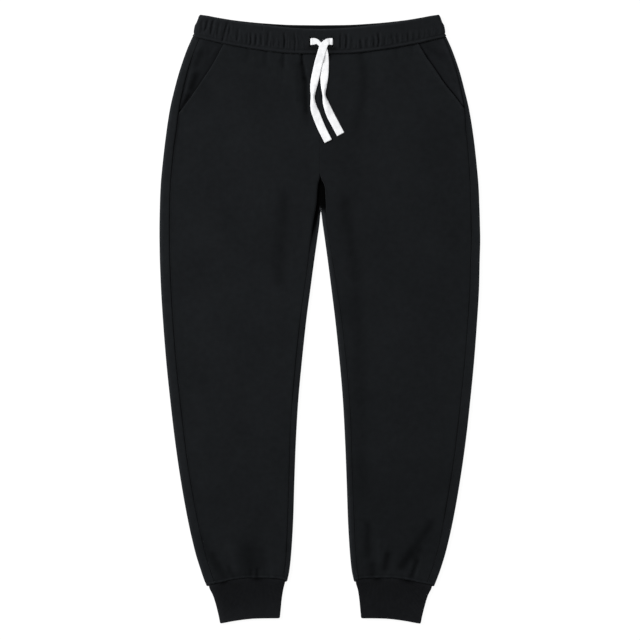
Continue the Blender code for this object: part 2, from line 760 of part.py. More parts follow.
# ---------------------------------------------------------------- assembly
def build():
    clear_scene()
    scene_root = bpy.context.scene.collection
    garment = bpy.data.collections.new("fleece_joggers")
    cutters = bpy.data.collections.new("cutters")
    scene_root.children.link(garment)
    scene_root.children.link(cutters)

    fleece = plain_material("black_fleece", BODY_BLACK, 0.95)
    facing_cloth = plain_material("pocket_cloth", BODY_BLACK, 0.95)
    band_cloth = plain_material("waistband_cloth", BODY_BLACK, 0.92)
    rib = plain_material("rib_knit", RIB_BLACK, 0.95)
    white_tape = plain_material("white_tape", TAPE_WHITE, 0.8)

    waistband(garment, band_cloth, cutters)
    for side, route in ((LEFT, TAPE_LEFT), (RIGHT, TAPE_RIGHT)):
        front_panel(side, garment, fleece)
        back_panel(side, garment, fleece, cutters)
        pocket_facing(side, garment, facing_cloth)
        cuff(side, garment, rib)
        tape(side, route, garment, white_tape)


build()
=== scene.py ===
# %% [markdown]
# # Fleece joggers, laid flat
#
# Heavy fleece joggers lie front side up on a table, waist at the top. Real ones are sewn
# from two front panels, two back panels that wrap round the sides, a gathered elastic
# waistband, two rib knit cuffs and a flat white drawstring.
#
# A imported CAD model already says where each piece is. This lesson builds the cloth that
# shows: every panel is a fine grid of points, and its height comes from a few smooth
# curves. The same curves shape the leg, place the seams and carry the drawstring, so a
# change to one of them moves everything that depends on it.

import math
from collections import namedtuple

import bpy
import bmesh
import numpy as np
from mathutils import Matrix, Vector


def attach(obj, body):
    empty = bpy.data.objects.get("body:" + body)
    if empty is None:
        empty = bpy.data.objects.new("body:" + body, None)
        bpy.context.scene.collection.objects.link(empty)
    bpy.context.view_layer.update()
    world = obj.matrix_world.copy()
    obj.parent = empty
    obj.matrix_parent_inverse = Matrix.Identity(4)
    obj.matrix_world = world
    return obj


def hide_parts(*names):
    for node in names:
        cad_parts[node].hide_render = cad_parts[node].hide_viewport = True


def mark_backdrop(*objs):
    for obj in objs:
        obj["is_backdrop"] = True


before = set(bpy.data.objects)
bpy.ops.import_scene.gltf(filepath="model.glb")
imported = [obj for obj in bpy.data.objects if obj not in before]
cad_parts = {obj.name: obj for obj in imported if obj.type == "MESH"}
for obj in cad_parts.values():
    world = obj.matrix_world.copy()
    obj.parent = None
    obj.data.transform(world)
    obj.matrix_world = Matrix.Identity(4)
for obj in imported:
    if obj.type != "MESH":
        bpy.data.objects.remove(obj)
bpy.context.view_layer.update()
MM = 0.001

# %% [markdown]
# ## Camera, floor and light
#
# The camera looks straight down the Z axis. A long lens keeps the sides of the legs from
# leaning, and its height follows from how much of the table has to fit in the picture.
#
# What shows the folds of black cloth is the difference between a light from one side and
# the even light all round. A big area light stands low, past the waist on the wearer's
# right, so folds that face it have a light rim and the far side of each hollow goes
# dark. A much weaker one opposite keeps the far rims from drowning. The floor glows by
# itself, so it stays white right up to the cloth.

# %% Camera straight above the middle of the garment
LENS = 100                  # mm
SENSOR = 36                 # mm
VIEW_WIDTH = 1.088          # metres of table across the picture
OUTLINE_HEIGHT = 0.0037     # of the folds that draw the outline
AIM_X, AIM_Y = 0.0005, -0.0017


def put(name, data):
    """A new object in the scene."""
    thing = bpy.data.objects.new(name, data)
    bpy.context.scene.collection.objects.link(thing)
    return thing


camera = put("camera", bpy.data.cameras.new("camera"))
camera.data.lens = LENS
camera.data.sensor_width = SENSOR
camera.location = (AIM_X, AIM_Y, OUTLINE_HEIGHT + VIEW_WIDTH * LENS / SENSOR)
bpy.context.scene.camera = camera
bpy.context.scene.view_settings.view_transform = "Standard"
print("camera height in metres:", round(camera.location.z, 3))


# %% A pale floor, an even sky and soft side lights
def set_inputs(node, **values):
    """Sets a node's sockets by name, an underscore standing for a space."""
    for name, value in values.items():
        node.inputs[name.replace("_", " ")].default_value = value


def new_material(name):
    """A material, its node tree and its Principled shader."""
    material = bpy.data.materials.new(name)
    material.use_nodes = True
    return material, material.node_tree, material.node_tree.nodes["Principled BSDF"]


def pale_floor(half, drop):
    mesh = bpy.data.meshes.new("floor")
    corners = [(-half, -half, -drop), (half, -half, -drop), (half, half, -drop), (-half, half, -drop)]
    mesh.from_pydata(corners, [], [(0, 1, 2, 3)])
    material, _, shader = new_material("pale_floor")
    set_inputs(shader, Base_Color=(0.12, 0.12, 0.12, 1), Roughness=0.9, Specular_IOR_Level=0,
               Emission_Color=(1, 1, 1, 1), Emission_Strength=0.93)
    mesh.materials.append(material)
    floor = put("floor", mesh)
    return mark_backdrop(floor)


def soft_light(name, place, size, watts):
    """A square lamp that faces the middle of the garment."""
    light = put(name, bpy.data.lights.new(name, "AREA"))
    light.data.size = size
    light.data.energy = watts
    light.location = place
    light.rotation_euler = (-Vector(place)).to_track_quat("-Z", "Y").to_euler()


world = bpy.data.worlds.new("studio")
world.use_nodes = True
set_inputs(world.node_tree.nodes["Background"], Color=(1, 1, 1, 1), Strength=0.38)
bpy.context.scene.world = world
pale_floor(half=7, drop=0.0006)
soft_light("side_light", place=(-2.5, 1.3, 2), size=1.3, watts=126)
soft_light("fill_light", place=(2.6, 0.6, 1.2), size=1, watts=18)

# %% [markdown]
# ## Curves that everything shares
#
# A garment's outline is a smooth line, and so is every seam. Here a line has to answer
# one question many times over: how far out is it at this place? So each one is a function
# through a short list of points, and it works on whole arrays at once.


# %% Soft steps, humps and smooth lines
def ease(share):
    """0 to 1 with level ends."""
    share = np.clip(share, 0, 1)
    return share * share * (3 - 2 * share)


def quarter(share):
    """0 to 1 along a quarter circle that starts level."""
    return 1 - np.sqrt(1 - share**2)


def hump(away, width):
    """1 in the middle, and almost 0 two widths away from it."""
    return np.exp(-((away / width) ** 2))


def uneven(place, pitch):
    """A wandering value between -1 and 1, with swells about one pitch long."""
    turn = 2 * math.pi * place / pitch
    return (np.sin(turn) + 0.6 * np.sin(1.73 * turn + 1.3) + 0.4 * np.sin(0.61 * turn + 4)) / 2


def curve(points, column=1):
    """A smooth function through one column of a table by its first, level beyond its ends."""
    places, values = np.array(sorted((row[0], row[column]) for row in points), float).T
    slopes = np.empty_like(values)
    slopes[1:-1] = (values[2:] - values[:-2]) / (places[2:] - places[:-2])
    slopes[[0, -1]] = (values[[1, -1]] - values[[0, -2]]) / (places[[1, -1]] - places[[0, -2]])

    def value_at(place):
        place = np.clip(place, places[0], places[-1])
        index = np.clip(np.searchsorted(places, place, side="right") - 1, 0, len(places) - 2)
        span = places[index + 1] - places[index]
        t = (place - places[index]) / span
        return ((2 * t**3 - 3 * t**2 + 1) * values[index]
                + (t**3 - 2 * t**2 + t) * span * slopes[index]
                + (3 * t**2 - 2 * t**3) * values[index + 1]
                + (t**3 - t**2) * span * slopes[index + 1])

    return value_at


# %% [markdown]
# ## The plan of the joggers
#
# Each leg is worked out in its own plan: x is the distance from the centre line, y runs
# from the cuff up to the waist, and both are in millimetres. A side's sign then puts the
# leg on the left or the right. Its outline is its two folds. The seams lie a little
# inside them, because the back panels wrap round on to the top.

# %% Outline of a leg: the outer and the inner fold
SILHOUETTE = (              # y, outer fold on the right and left, inner fold on the right and left
    (480, 216.1, 215, -16.6, -16.6), (457, 226.1, 225.2, -16.6, -16.6),
    (423, 237.9, 237.2, -16.6, -16.6), (389, 247.3, 246.3, -16.6, -16.6),
    (355, 255, 254.3, -16.6, -16.6), (304, 262.5, 262.3, -16.6, -16.6),
    (240, 269.5, 269.1, -13.6, -12.1), (212, 271.2, 270.9, -10.1, -8.6),
    (200, 271.6, 271.3, -7.1, -5.1), (188, 271.9, 271.7, -3.1, -0.1), (180, 272.1, 272, -1.4, 2.5),
    (160, 272.4, 272.5, 0.7, 5.2), (134, 272.4, 273, 4.4, 8.9), (100, 271.8, 272.1, 9.2, 13.6),
    (50, 269.8, 270.9, 15.9, 20), (0, 266.7, 267.9, 22.5, 26.2), (-70, 261.2, 262.7, 30, 33.5),
    (-138, 254.2, 256.1, 36.3, 39.3), (-206, 246.2, 248.5, 40.3, 43), (-274, 236.3, 238.8, 42.9, 45.7),
    (-342, 224.1, 226.8, 45, 48), (-395, 212, 214.7, 48.1, 51.1), (-427, 202.2, 204.9, 51.4, 54.3),
    (-444, 196.3, 198.6, 54.9, 57.8), (-452, 192.9, 195.4, 56.9, 59.4),
)

# %% Waistband and cuff edges
BAND = (                    # x, seam to the panels, top edge
    (0, 450.2, 496.6), (50, 450.9, 497.4), (80, 453.9, 499.3), (112, 458.2, 502.2), (147, 464.3, 506.8),
    (170, 468.9, 511), (190, 473.4, 514.9), (216, 479, 518.2),
)
BAND_HALF = (               # share of the way up, half the width
    (0, 215.8), (0.13, 214.2), (0.26, 213.6), (0.38, 212.9), (0.51, 211.7), (0.64, 209.1),
    (0.77, 207.2), (0.9, 205.5), (1, 204.3),
)
BAND_SHIFT = -0.4           # the whole band lies this far to the wearer's right
BAND_PEEK = 3               # the back waistband stands this far above the front one
FRONT_DIP = 4.4             # and the front one sinks a little further in the middle
CUFF_EDGE = (               # x, seam on top, seam underneath, hem
    (55, -444.8, -447.4, -507.2), (70, -441.6, -448, -508.6), (90, -440.4, -448.4, -508.8),
    (113, -440.2, -449.2, -509.4), (130, -440.8, -450, -511.1), (149, -443.4, -451.6, -513.9),
    (168, -447.8, -453, -517.4), (194, -452.4, -455, -520.4),
)
CUFF_FOLD = (               # share of the way down, inner fold right and left, outer right and left
    (0, 57.5, 59.8, 189.8, 192.4), (0.1, 60, 62.2, 186.8, 189.3), (0.25, 62.1, 64.9, 182, 184.4),
    (0.5, 64.5, 67.2, 176.8, 179.4), (0.8, 66.3, 69, 172, 174.4), (1, 67.6, 70.2, 169.4, 171.8),
)
band_seam, band_top = curve(BAND), curve(BAND, 2)
band_half = curve(BAND_HALF)
cuff_seam, cuff_under_seam, cuff_hem = (curve(CUFF_EDGE, column) for column in (1, 2, 3))


def back_rise(x, share=0):
    """How far the back waistband stands above the front one; share goes from seam to top."""
    at_top = np.clip(1 - (x / band_half(0)) ** 2, 0, 1)
    return BAND_PEEK * (1 - share + share * at_top)


def cuff_line(x, under):
    """The cuff's seam; under is 0 on the top side and 1 underneath."""
    return (1 - under) * cuff_seam(x) + under * cuff_under_seam(x)


# %% [markdown]
# ## Folds, listed one by one
#
# Cloth that lies flat keeps soft hollows and ridges: creases hang from the gathers of the
# waistband, and the wide leg puckers where it is eased into the narrow cuff. Each fold
# is a line with a width on either side of it and a depth, so one side can be steep and
# the other gentle. A negative depth is a ridge. No two are alike, because an even row of
# folds looks made by a machine.

# %% Folds of the top side and the underside
FOLDS_RIGHT = (             # from x, y to x, y, then the widths inside and outside, and the depth
    (30, 452, 29.6, 434, 1.8, 2.4, 3.6), (27.4, 428, 25.2, 411, 2.6, 4, 3.2),
    (22.8, 404, 21.6, 354, 3, 5.6, 3.2), (20.6, 342, 20, 334, 3, 6, 0.7), (34, 430, 31, 374, 6, 7, 1.2),
    (60.5, 454, 61.5, 431, 2.4, 4, 1.5), (63, 436, 66, 398, 6, 8, 0.5), (90, 457, 92, 434, 3, 5, 1.1),
    (121, 461, 123, 442, 5, 6, 0.6), (102, 440, 108, 380, 14, 14, 0.4),
    (196, 392, 188, 370, 13, 14, 0.7), (59, 206, 67, 66, 11, 12, 1.2),
    (158, 160, 146, 128, 16, 16, 0.4), (197, -374, 190, -394, 9, 8, 0.9),
    (181, -406, 162, -436, 7.5, 7.5, 2.2), (153, -424, 147, -438, 4, 4, 1.6),
    (118, -399, 114, -421, 14, 17, 2.2), (96, -398, 94, -420, 10, 12, 1.1),
    (117, -428, 117, -437, 2.6, 2.6, 1.2), (106, -426, 106, -437, 2.6, 2.6, 1.4),
    (153, -384, 141, -421, 7, 7, -0.9), (88, -360, 84, -430, 9, 9, -0.3),
)
FOLDS_LEFT = (
    (71, 448, 77, 420, 8, 8, 1.3), (77, 402, 73.5, 370, 8, 9, 1.2), (71, 354, 63.5, 326, 8, 9, 1),
    (104, 450, 104, 405, 12, 12, -0.4), (131, 462, 132, 442, 4, 5, 0.6),
    (157, 466, 157, 446, 4, 4, 0.6), (36, 290, 46, 225, 18, 30, 0.5), (43, 196, 54, 130, 9, 11, 1.5),
    (57, 108, 62.5, 70, 10, 11, 1.4), (63, 32, 68.5, -44, 11, 12, 1.1),
    (70, -72, 73, -140, 12, 12, 0.8), (74, -170, 77, -290, 12, 12, 0.6),
    (83, -352, 83.5, -400, 7, 7, 1.8), (90, -420, 92.5, -432, 8, 7, 2),
    (189, -352, 165, -387, 7, 8, 1.9), (155, -401, 142, -419, 8, 8, 2.7),
    (171, -394, 163, -408, 5, 5, 1.2), (116.5, -402, 112, -423, 5.5, 6.5, 2.7),
    (101, -380, 101.5, -412, 4, 4, -0.8), (166, -413, 157.5, -436, 4.2, 4.2, 2.5),
    (165.5, -427, 166, -433, 3.6, 4, -0.8), (207, -378, 206, -400, 5, 5, -0.5),
)
UNDER_FOLDS_RIGHT = (
    (64, 448, 70, 400, 7, 9, 0.6), (128, 456, 120, 415, 8, 6, 0.5), (60, 205, 96, 90, 12, 16, 0.7),
    (190, 60, 150, -60, 16, 12, 0.4), (176, -330, 140, -430, 8, 11, 0.9),
    (104, -390, 108, -438, 8, 9, 0.9),
)
UNDER_FOLDS_LEFT = (
    (84, 450, 80, 396, 8, 8, 0.6), (150, 462, 146, 428, 6, 8, 0.5), (52, 215, 84, 70, 10, 15, 0.7),
    (176, 20, 188, -120, 14, 14, 0.4), (186, -322, 150, -426, 9, 10, 0.9),
    (96, -372, 112, -436, 8, 8, 0.9),
)


def fold_depth(folds, x, y):
    """Sum of the soft troughs at points of the plan, in mm."""
    total = np.zeros(np.broadcast(x, y).shape)
    for x0, y0, x1, y1, inner, outer, depth in folds:
        run_x, run_y = x1 - x0, y1 - y0
        length = math.hypot(run_x, run_y)
        along = ((x - x0) * run_x + (y - y0) * run_y) / length
        past_end = along - np.clip(along, 0, length)
        outward = ((y - y0) * run_x - (x - x0) * run_y) / length
        width = np.where(outward > 0, outer, inner)
        total += depth * hump(outward, width) * hump(past_end, 1.2 * outer)
    return total


# %% The two sides of the garment
OUTSEAMS = (                # y, how far inside the outer fold on the right and left
    (480, 13.5, 4.6), (430, 14.5, 5), (388, 15.6, 5.9), (356, 16.3, 7.6), (325, 17.3, 10.9),
    (295, 16.8, 12), (226, 17.2, 14.1), (157, 17.6, 14.8), (90, 17.6, 15.3), (21, 17.5, 15.6),
    (-47, 17.4, 15.9), (-114, 17.3, 16.1), (-183, 17.4, 16.2), (-250, 16.8, 16), (-318, 17.1, 16.1),
    (-386, 17, 14.6), (-452, 16.8, 14.5),
)
INSEAMS = (                 # y, distance from the centre line on the right and left
    (480, -2, -2), (290, -2, -2), (250, -1.5, -0.5), (238, 0.5, 3), (228, 3.2, 8), (212, 4.4, 9.8),
    (195, 5.6, 10.4), (175, 9, 10.9), (155, 12.1, 13.2), (141, 13.9, 15.8), (92, 20, 23.4),
    (24, 29.7, 34.3), (-44, 37.3, 42.8), (-112, 43.9, 49.1), (-180, 49.2, 53.3), (-248, 51.2, 55.3),
    (-316, 53.1, 57.9), (-384, 55.7, 60.7), (-418, 58.2, 63.3), (-452, 64, 68.8),
)
OUTSEAM_DARK = (            # y, how dark the seam's groove is on the right and left: its size and its painted shade
    (480, 0.06, 0.20), (452, 0.10, 0.25), (434, 0.40, 0.30), (410, 0.55, 0.32), (372, 0.58, 0.42),
    (300, 0.50, 0.14), (270, 0.26, 0.10), (190, 0.24, 0.12), (160, 0.24, 0.22), (130, 0.24, 0.12),
    (-150, 0.24, 0.12), (-190, 0.26, 0.22), (-230, 0.22, 0.12), (-300, 0.22, 0.20), (-322, 0.18, 0.28),
    (-345, 0.14, 0.14), (-400, 0.08, 0.05), (-452, 0.05, 0.05),
)
INSEAM_DARK = (
    (250, 0.30, 0.25), (200, 0.35, 0.15), (165, 0.50, 0.03), (135, 0.50, 0.02), (112, 0.22, 0.02),
    (90, 0.10, 0.08), (25, 0.10, 0.10), (-45, 0.30, 0.10), (-115, 0.30, 0.10), (-150, 0.16, 0.10),
    (-180, 0.08, 0.10), (-220, 0.16, 0.10), (-370, 0.20, 0.10), (-386, 0.40, 0.10), (-402, 0.20, 0.10),
    (-452, 0.10, 0.10),
)
MOUTH_BOW_RIGHT = (         # y, how far the pocket's mouth sags from a straight line
    (464, 0.6), (452, 2.2), (444, 2.8), (434, 3.8), (425, 4.2), (416, 3.8), (406, 3.3), (396, 3.3),
    (386, 2.9), (376, 2.4), (362, 1.3), (349.5, 0),
)
MOUTH_BOW_LEFT = (
    (465, 1), (446, 3.3), (433, 3.2), (420, 3.4), (404, 4.2), (391, 3.4), (378, 1.8), (363, 1), (356, 0),
)
Side = namedtuple("Side", "name sign outer inner outseam inseam outseam_dark inseam_dark "
                          "cuff_inner cuff_outer mouth_top mouth_low mouth_bow folds under_folds slot_x")


def make_side(name, sign, *own):
    """Takes the side's own columns from the tables: the left follows the right in each."""
    tables = ((SILHOUETTE, 1), (SILHOUETTE, 3), (OUTSEAMS, 1), (INSEAMS, 1), (OUTSEAM_DARK, 1),
              (INSEAM_DARK, 1), (CUFF_FOLD, 1), (CUFF_FOLD, 3))
    return Side(name, sign, *(curve(rows, first + (sign > 0)) for rows, first in tables), *own)


RIGHT = make_side("right", -1, (165.2, 464.1), (239.2, 349.5), curve(MOUTH_BOW_RIGHT),
                  FOLDS_RIGHT, UNDER_FOLDS_RIGHT, 15.4)
LEFT = make_side("left", 1, (170.5, 465), (247.4, 356), curve(MOUTH_BOW_LEFT),
                 FOLDS_LEFT, UNDER_FOLDS_LEFT, 22)
SIDES = (LEFT, RIGHT)


def mouth_x(side, y):
    """The pocket's mouth as a distance from the centre: a line that sags toward it."""
    (top_x, top_y), (low_x, low_y) = side.mouth_top, side.mouth_low
    return top_x + (y - top_y) * (low_x - top_x) / (low_y - top_y) - side.mouth_bow(y)


# %% [markdown]
# ## How high the cloth lies
#
# Two layers of fleece stand highest at the folds down the sides and sag a little between
# them. The height is built up in the same order: a half circle at each fold, a level
# middle, the swell under the waistband, the folds from the tables, and a slow wander.

# %% Height of the top side
CLOTH = 1.8                 # thickness of brushed fleece
FOLD_RADIUS = 3.7           # half the height of the folds down the sides
FOLD_ROLL = 6.5             # the top cloth takes this long to round over into a fold
LAY_HEIGHT = 6.4            # top of the cloth between the folds
SAG_REACH = 30              # it sags to that height this far in from a fold
SEAM_PUFF = 0.9             # swell of the cloth below the waistband
WANDER = 0.22               # slow unevenness of cloth that lies on a table


def puckers(side, x, y):
    """Small ripples where the wide leg is eased into the cuff, and below the gathers."""
    return (0.55 * uneven(x + 40 * side.sign, 17) * hump(y - cuff_seam(x), 13)
            + 0.30 * uneven(x + 90 * side.sign, 15) * hump(band_seam(x) - y, 11))


def roll_width(side, y, outer):
    """How wide the rounding at a side fold is; it never reaches past the seam beside it."""
    to_seam = side.outseam(y) if outer else side.inseam(y) - side.inner(y)
    return np.clip(to_seam - 0.5, 3, FOLD_ROLL)


def rounded(distance, width):
    """What a fold's rounding takes off the full height, at a distance from the fold."""
    return FOLD_RADIUS * quarter(1 - np.clip(distance / width, 0, 1))


def lay_height(side, x, y):
    """Height of the outer face on the top side of a leg, in mm."""
    from_outer, from_inner = side.outer(y) - x, x - side.inner(y)
    outer_width, inner_width = roll_width(side, y, True), roll_width(side, y, False)
    z = 2 * FOLD_RADIUS - rounded(from_outer, outer_width) - rounded(from_inner, inner_width)
    past_roll = np.minimum(from_outer - outer_width, from_inner - inner_width)
    z -= (2 * FOLD_RADIUS - LAY_HEIGHT) * ease(past_roll / SAG_REACH)
    shape = SEAM_PUFF * hump(band_seam(x) - y - 14, 12)
    shape += 0.6 * hump(y - cuff_seam(x) - 9, 10)
    shape += WANDER * uneven(x + 0.35 * y, 118) * uneven(y - 0.2 * x, 163)
    shape += puckers(side, x, y) - fold_depth(side.folds, x, y)
    return z + ease(past_roll / 12) * shape


def edge_roll(distance, radius):
    """How far a cut edge has rolled into its seam at a distance from it."""
    return radius * quarter(1 - np.clip(distance / radius, 0, 1))


# %% [markdown]
# ## The drawstring
#
# The drawstring is one flat woven tape. Only its two free ends show: each comes up out
# of a buttonhole, turns down across the other, and lies on the front to its cut end. At
# each point of its route the tape also has a rise, where it climbs over the other end,
# and a spread, where its edges curl and it looks narrower. Its height isn't guessed: it
# is the highest cloth under the tape's width, smoothed, so the tape bridges small hollows.

# %% Routes of the two free ends
TAPE_WIDTH = 13.5
TAPE_THICK = 1
CLEAR = 0.3                 # between the tape and the cloth below
OVER = TAPE_THICK + CLEAR
BAND_RADIUS = 5.3           # waistband fold, so the band is twice this high
TAPE_LEFT = (               # x, y, rise, spread
    (22, 470.3, -4.6, 0.84), (21.9, 470.3, -1.6, 0.84), (20.8, 470.4, 0, 0.84), (17.4, 470.6, 0, 0.82),
    (13.7, 470, OVER, 0.80), (11.2, 468.6, OVER, 0.80), (9, 466.6, OVER, 0.88), (6, 461.6, OVER, 1),
    (4, 455, OVER, 1), (1.6, 447, OVER, 1), (-1.9, 435, OVER, 1), (-5.1, 421, OVER, 1),
    (-7.9, 408, OVER, 0.99), (-10.4, 394, 0.4, 0.84), (-11.9, 377, 0, 0.50), (-10.5, 361, 0, 0.80),
    (-6.4, 348, 0, 1), (2.7, 325.5, 0, 1), (14.4, 301.8, 0, 1),
)
TAPE_RIGHT = (
    (15.4, 470.3, -4.6, 0.84), (15.3, 470.3, -1.6, 0.84), (14.2, 470.4, 0, 0.84),
    (10.4, 470.8, 0, 0.82), (7, 470.8, 0, 0.74), (4.4, 470.2, 0, 0.62), (1.6, 468, 0, 0.54),
    (-1.8, 465, 0, 0.56), (-4.6, 461.6, 0, 0.74), (-6.5, 457.2, 0, 0.90), (-7.7, 450, 0, 1),
    (-8.6, 440, 0, 1), (-8.7, 430, 0, 1), (-8.3, 419, 0, 1), (-7.5, 407, 0, 0.94), (-7, 394, 0, 0.70),
    (-7.3, 380, 0, 0.39), (-10.6, 366, 0, 0.75), (-18, 347, 0, 1), (-26.9, 330, 0, 1),
    (-35.6, 313.7, 0, 1),
)
TAPE_STEPS = 12             # stations to each stretch of a route


def smooth_route(points):
    """A line that passes through every point and turns smoothly between them."""
    points = np.array(points, float)
    last = len(points) - 1
    route = []
    for index in range(last):
        p0, p1, p2, p3 = (points[min(max(index + k, 0), last)] for k in (-1, 0, 1, 2))
        for t in np.arange(TAPE_STEPS) / TAPE_STEPS:
            route.append(0.5 * (2 * p1 + (p2 - p0) * t + (2 * p0 - 5 * p1 + 4 * p2 - p3) * t**2
                                + (3 * p1 - p0 - 3 * p2 + p3) * t**3))
    return np.array(route + [points[last]])


def cloth_top(x, y):
    """Top of the waistband, or of the front panels below it."""
    panels = np.where(x > 0, lay_height(LEFT, np.abs(x), y), lay_height(RIGHT, np.abs(x), y))
    return np.where(y > band_seam(np.abs(x)) - 1, 2 * BAND_RADIUS, panels)


# %% Heights along a route, with the tape lying on what is under it
BRIDGE = 7                  # the tape bridges hollows shorter than twice this
LEAD_STRETCHES = 2.5        # the tape leaves its buttonhole straight across
PROBES = 7                  # places tried each way for the highest cloth below


def unit(vectors):
    return vectors / np.linalg.norm(vectors, axis=-1, keepdims=True)


def tape_frame(side, points):
    """Centre line, across and upward directions, and spread, at each station."""
    route = smooth_route([(side.sign * x, *rest) for x, *rest in points])
    plan, spread = route[:, :2], route[:, 3]
    heading = np.gradient(plan, axis=0)
    heading[:int(LEAD_STRETCHES * TAPE_STEPS)] = (-side.sign, 0)
    heading = unit(heading)
    across = np.stack([-heading[:, 1], heading[:, 0], np.zeros(len(heading))], axis=1)
    half = 0.5 * TAPE_WIDTH * spread
    under = np.full(len(route), -1e9)
    for a in np.linspace(-1, 1, PROBES):
        for b in np.linspace(-BRIDGE, BRIDGE, PROBES):
            spot = plan + across[:, :2] * (a * half)[:, None] + heading * b
            under = np.maximum(under, cloth_top(spot[:, 0], spot[:, 1]))
    window = TAPE_STEPS // 2 * 2 + 1
    under = np.convolve(np.pad(under, window // 2, mode="edge"), np.ones(window) / window, mode="valid")
    middle = np.column_stack([plan, under + CLEAR + route[:, 2] + TAPE_THICK / 2])
    upward = unit(np.cross(unit(np.gradient(middle, axis=0)), across))
    return middle, across, upward, spread


# %% [markdown]
# ## From a grid of points to a mesh
#
# Every piece below is a grid of rows and columns, and one function turns a grid into a
# smooth mesh. It lays out texture coordinates in metres of real cloth, so a knit stitch
# has the same size on every panel. It also stores painted shading for each point, which the
# material uses as painted shade in the hollows where light doesn't reach and as a painted
# highlight on rims and ridges where it falls.


# %% Build a mesh from a grid
def cloth_texture(points):
    """Texture places in mm: the cloth's own length along a row, and y down a column."""
    lengths = np.linalg.norm(np.diff(points, axis=1), axis=2).cumsum(axis=1)
    across = points[:, :1, 0] + np.pad(lengths, ((0, 0), (1, 0)))
    return np.stack([across, points[:, :, 1]], axis=2)


def grid_mesh(name, points, texture, painted_shading, flip=False, ring=False):
    """Smooth quads through points in mm; ring joins the last column to the first."""
    rows, columns = points.shape[:2]
    number = np.arange(rows * columns).reshape(rows, columns)
    corner = np.stack([number[:-1, :-1], number[1:, :-1], number[1:, 1:], number[:-1, 1:]], -1)
    corner = corner.reshape(-1, 4)[:, ::-1 if flip else 1]
    if ring:
        number[:, -1] = number[:, 0]
    used, place = np.unique(number, return_inverse=True)
    mesh = bpy.data.meshes.new(name)
    mesh.from_pydata((points.reshape(-1, 3)[used] * MM).tolist(), [],
                     place.reshape(-1)[corner].tolist())
    places = texture.reshape(-1, 2)[corner] * MM
    mesh.uv_layers.new(name="cloth").data.foreach_set("uv", places.ravel())
    # painted shade and painted highlight for each point, kept as an attribute
    painted_shades = np.broadcast_to(painted_shading, (rows, columns)).reshape(-1)[used].astype(float)
    mesh.attributes.new("painted_shading", "FLOAT", "POINT").data.foreach_set("value", painted_shades)
    mesh.shade_smooth()
    return put(name, mesh)


def side_mesh(kind, side, plan, painted_shading, folded=True, ring=False):
    """A mesh of one side, its x, y and z given in that side's own plan."""
    x, y, z = plan
    points = np.stack([side.sign * x, y, z], axis=2)
    texture = cloth_texture(points) if folded else points[:, :, :2]
    name = "_".join((kind[0], side.name, kind[1]))
    return grid_mesh(name, points, texture, painted_shading, flip=side.sign < 0, ring=ring)


def tidy(piece, change):
    """Runs a few bmesh steps on a piece's mesh."""
    build = bmesh.new()
    build.from_mesh(piece.data)
    change(build)
    build.to_mesh(piece.data)
    build.free()


def weld(build):
    bmesh.ops.remove_doubles(build, verts=build.verts, dist=0.002 * MM)


def close_ends(build):
    bmesh.ops.holes_fill(build, edges=build.edges, sides=0)
    bmesh.ops.recalc_face_normals(build, faces=build.faces)


def thicken(piece):
    """Gives an open sheet its thickness, on its inner side."""
    wall = piece.modifiers.new("cloth_thickness", "SOLIDIFY")
    wall.thickness = CLOTH * MM
    wall.offset = -1
    wall.use_rim = True


# %% The two free ends of the drawstring
TAPE_ACROSS = 15            # points across one face of the tape
CURL_START = 8              # stretches from the buttonhole to where the edges may curl
CURL = 0.4                  # the rest of the narrowing is a pleat pressed flat


def tape_piece(side, points):
    """The tape's mesh, its centre line and its length."""
    middle, across, upward, spread = tape_frame(side, points)
    share = np.sin(np.linspace(-1, 1, TAPE_ACROSS) * math.pi / 2)
    half_thick = TAPE_THICK / 2 * np.sqrt(np.clip(1 - np.abs(share) ** 9, 0, 1))
    edge = np.concatenate([share, share[-2:0:-1], share[:1]])
    lift = np.concatenate([half_thick, -half_thick[-2:0:-1], half_thick[:1]])
    half = TAPE_WIDTH / 2 * np.minimum(spread, 1)
    away = ease((np.arange(len(spread)) / TAPE_STEPS - CURL_START) / 2)
    curl = CURL * away * TAPE_WIDTH * np.sqrt(0.375 * np.clip(1 - spread, 0, 1))
    rise = lift + curl[:, None] * (1 - edge**2)
    grid = (middle[:, None] + across[:, None] * (half[:, None] * edge)[..., None]
            + upward[:, None] * rise[..., None])
    travelled = np.append(0, np.linalg.norm(np.diff(middle, axis=0), axis=1).cumsum())
    texture = np.stack(np.broadcast_arrays(edge * TAPE_WIDTH / 2, travelled[:, None]), axis=2)
    piece = grid_mesh("drawstring_" + side.name + "_tape", grid, texture, 1.0, ring=True)
    tidy(piece, close_ends)
    return piece, middle, travelled[-1]


tapes = {}
for side, points in ((LEFT, TAPE_LEFT), (RIGHT, TAPE_RIGHT)):
    tapes[side.name] = tape_piece(side, points)
    print(tapes[side.name][0].name, "is", round(tapes[side.name][2], 1), "mm long")

# %% [markdown]
# ## Rows and columns
#
# A row is a line across the leg. The top rows follow the waistband's seam and the last
# rows follow the cuff's seam; those between are level. Cloth bends hardest where it
# rolls into a seam, so rows and columns crowd together there and spread out between.

# %% Rows down a leg
HALF_GAP = 0.15             # from a seam's line to either piece
WAIST_ZONE = 115            # length of cloth whose rows follow the waist seam
CUFF_ZONE = 62              # length of cloth whose rows follow the cuff seam
CUFF_LEVEL = -385
ROW_STEP = 3.4
MID_LEG = 100               # past the inseam and short of the outseam
MEET_STEPS = 6


def crowded(length, fine, coarse, growth=1.32):
    """Places from 0 to length, close together at both ends and even between."""
    half, gap = [0.0], fine
    while half[-1] + gap < length / 2:
        half.append(half[-1] + gap)
        gap = min(gap * growth, coarse)
    half = np.array(half)
    return np.concatenate([half, (length - half)[::-1]])


def leg_rows(side, fine=0.35):
    """Distances down the leg from the waist seam to the cuff seam."""
    return crowded(WAIST_ZONE + side.mouth_low[1] - CUFF_LEVEL + CUFF_ZONE, fine, ROW_STEP)


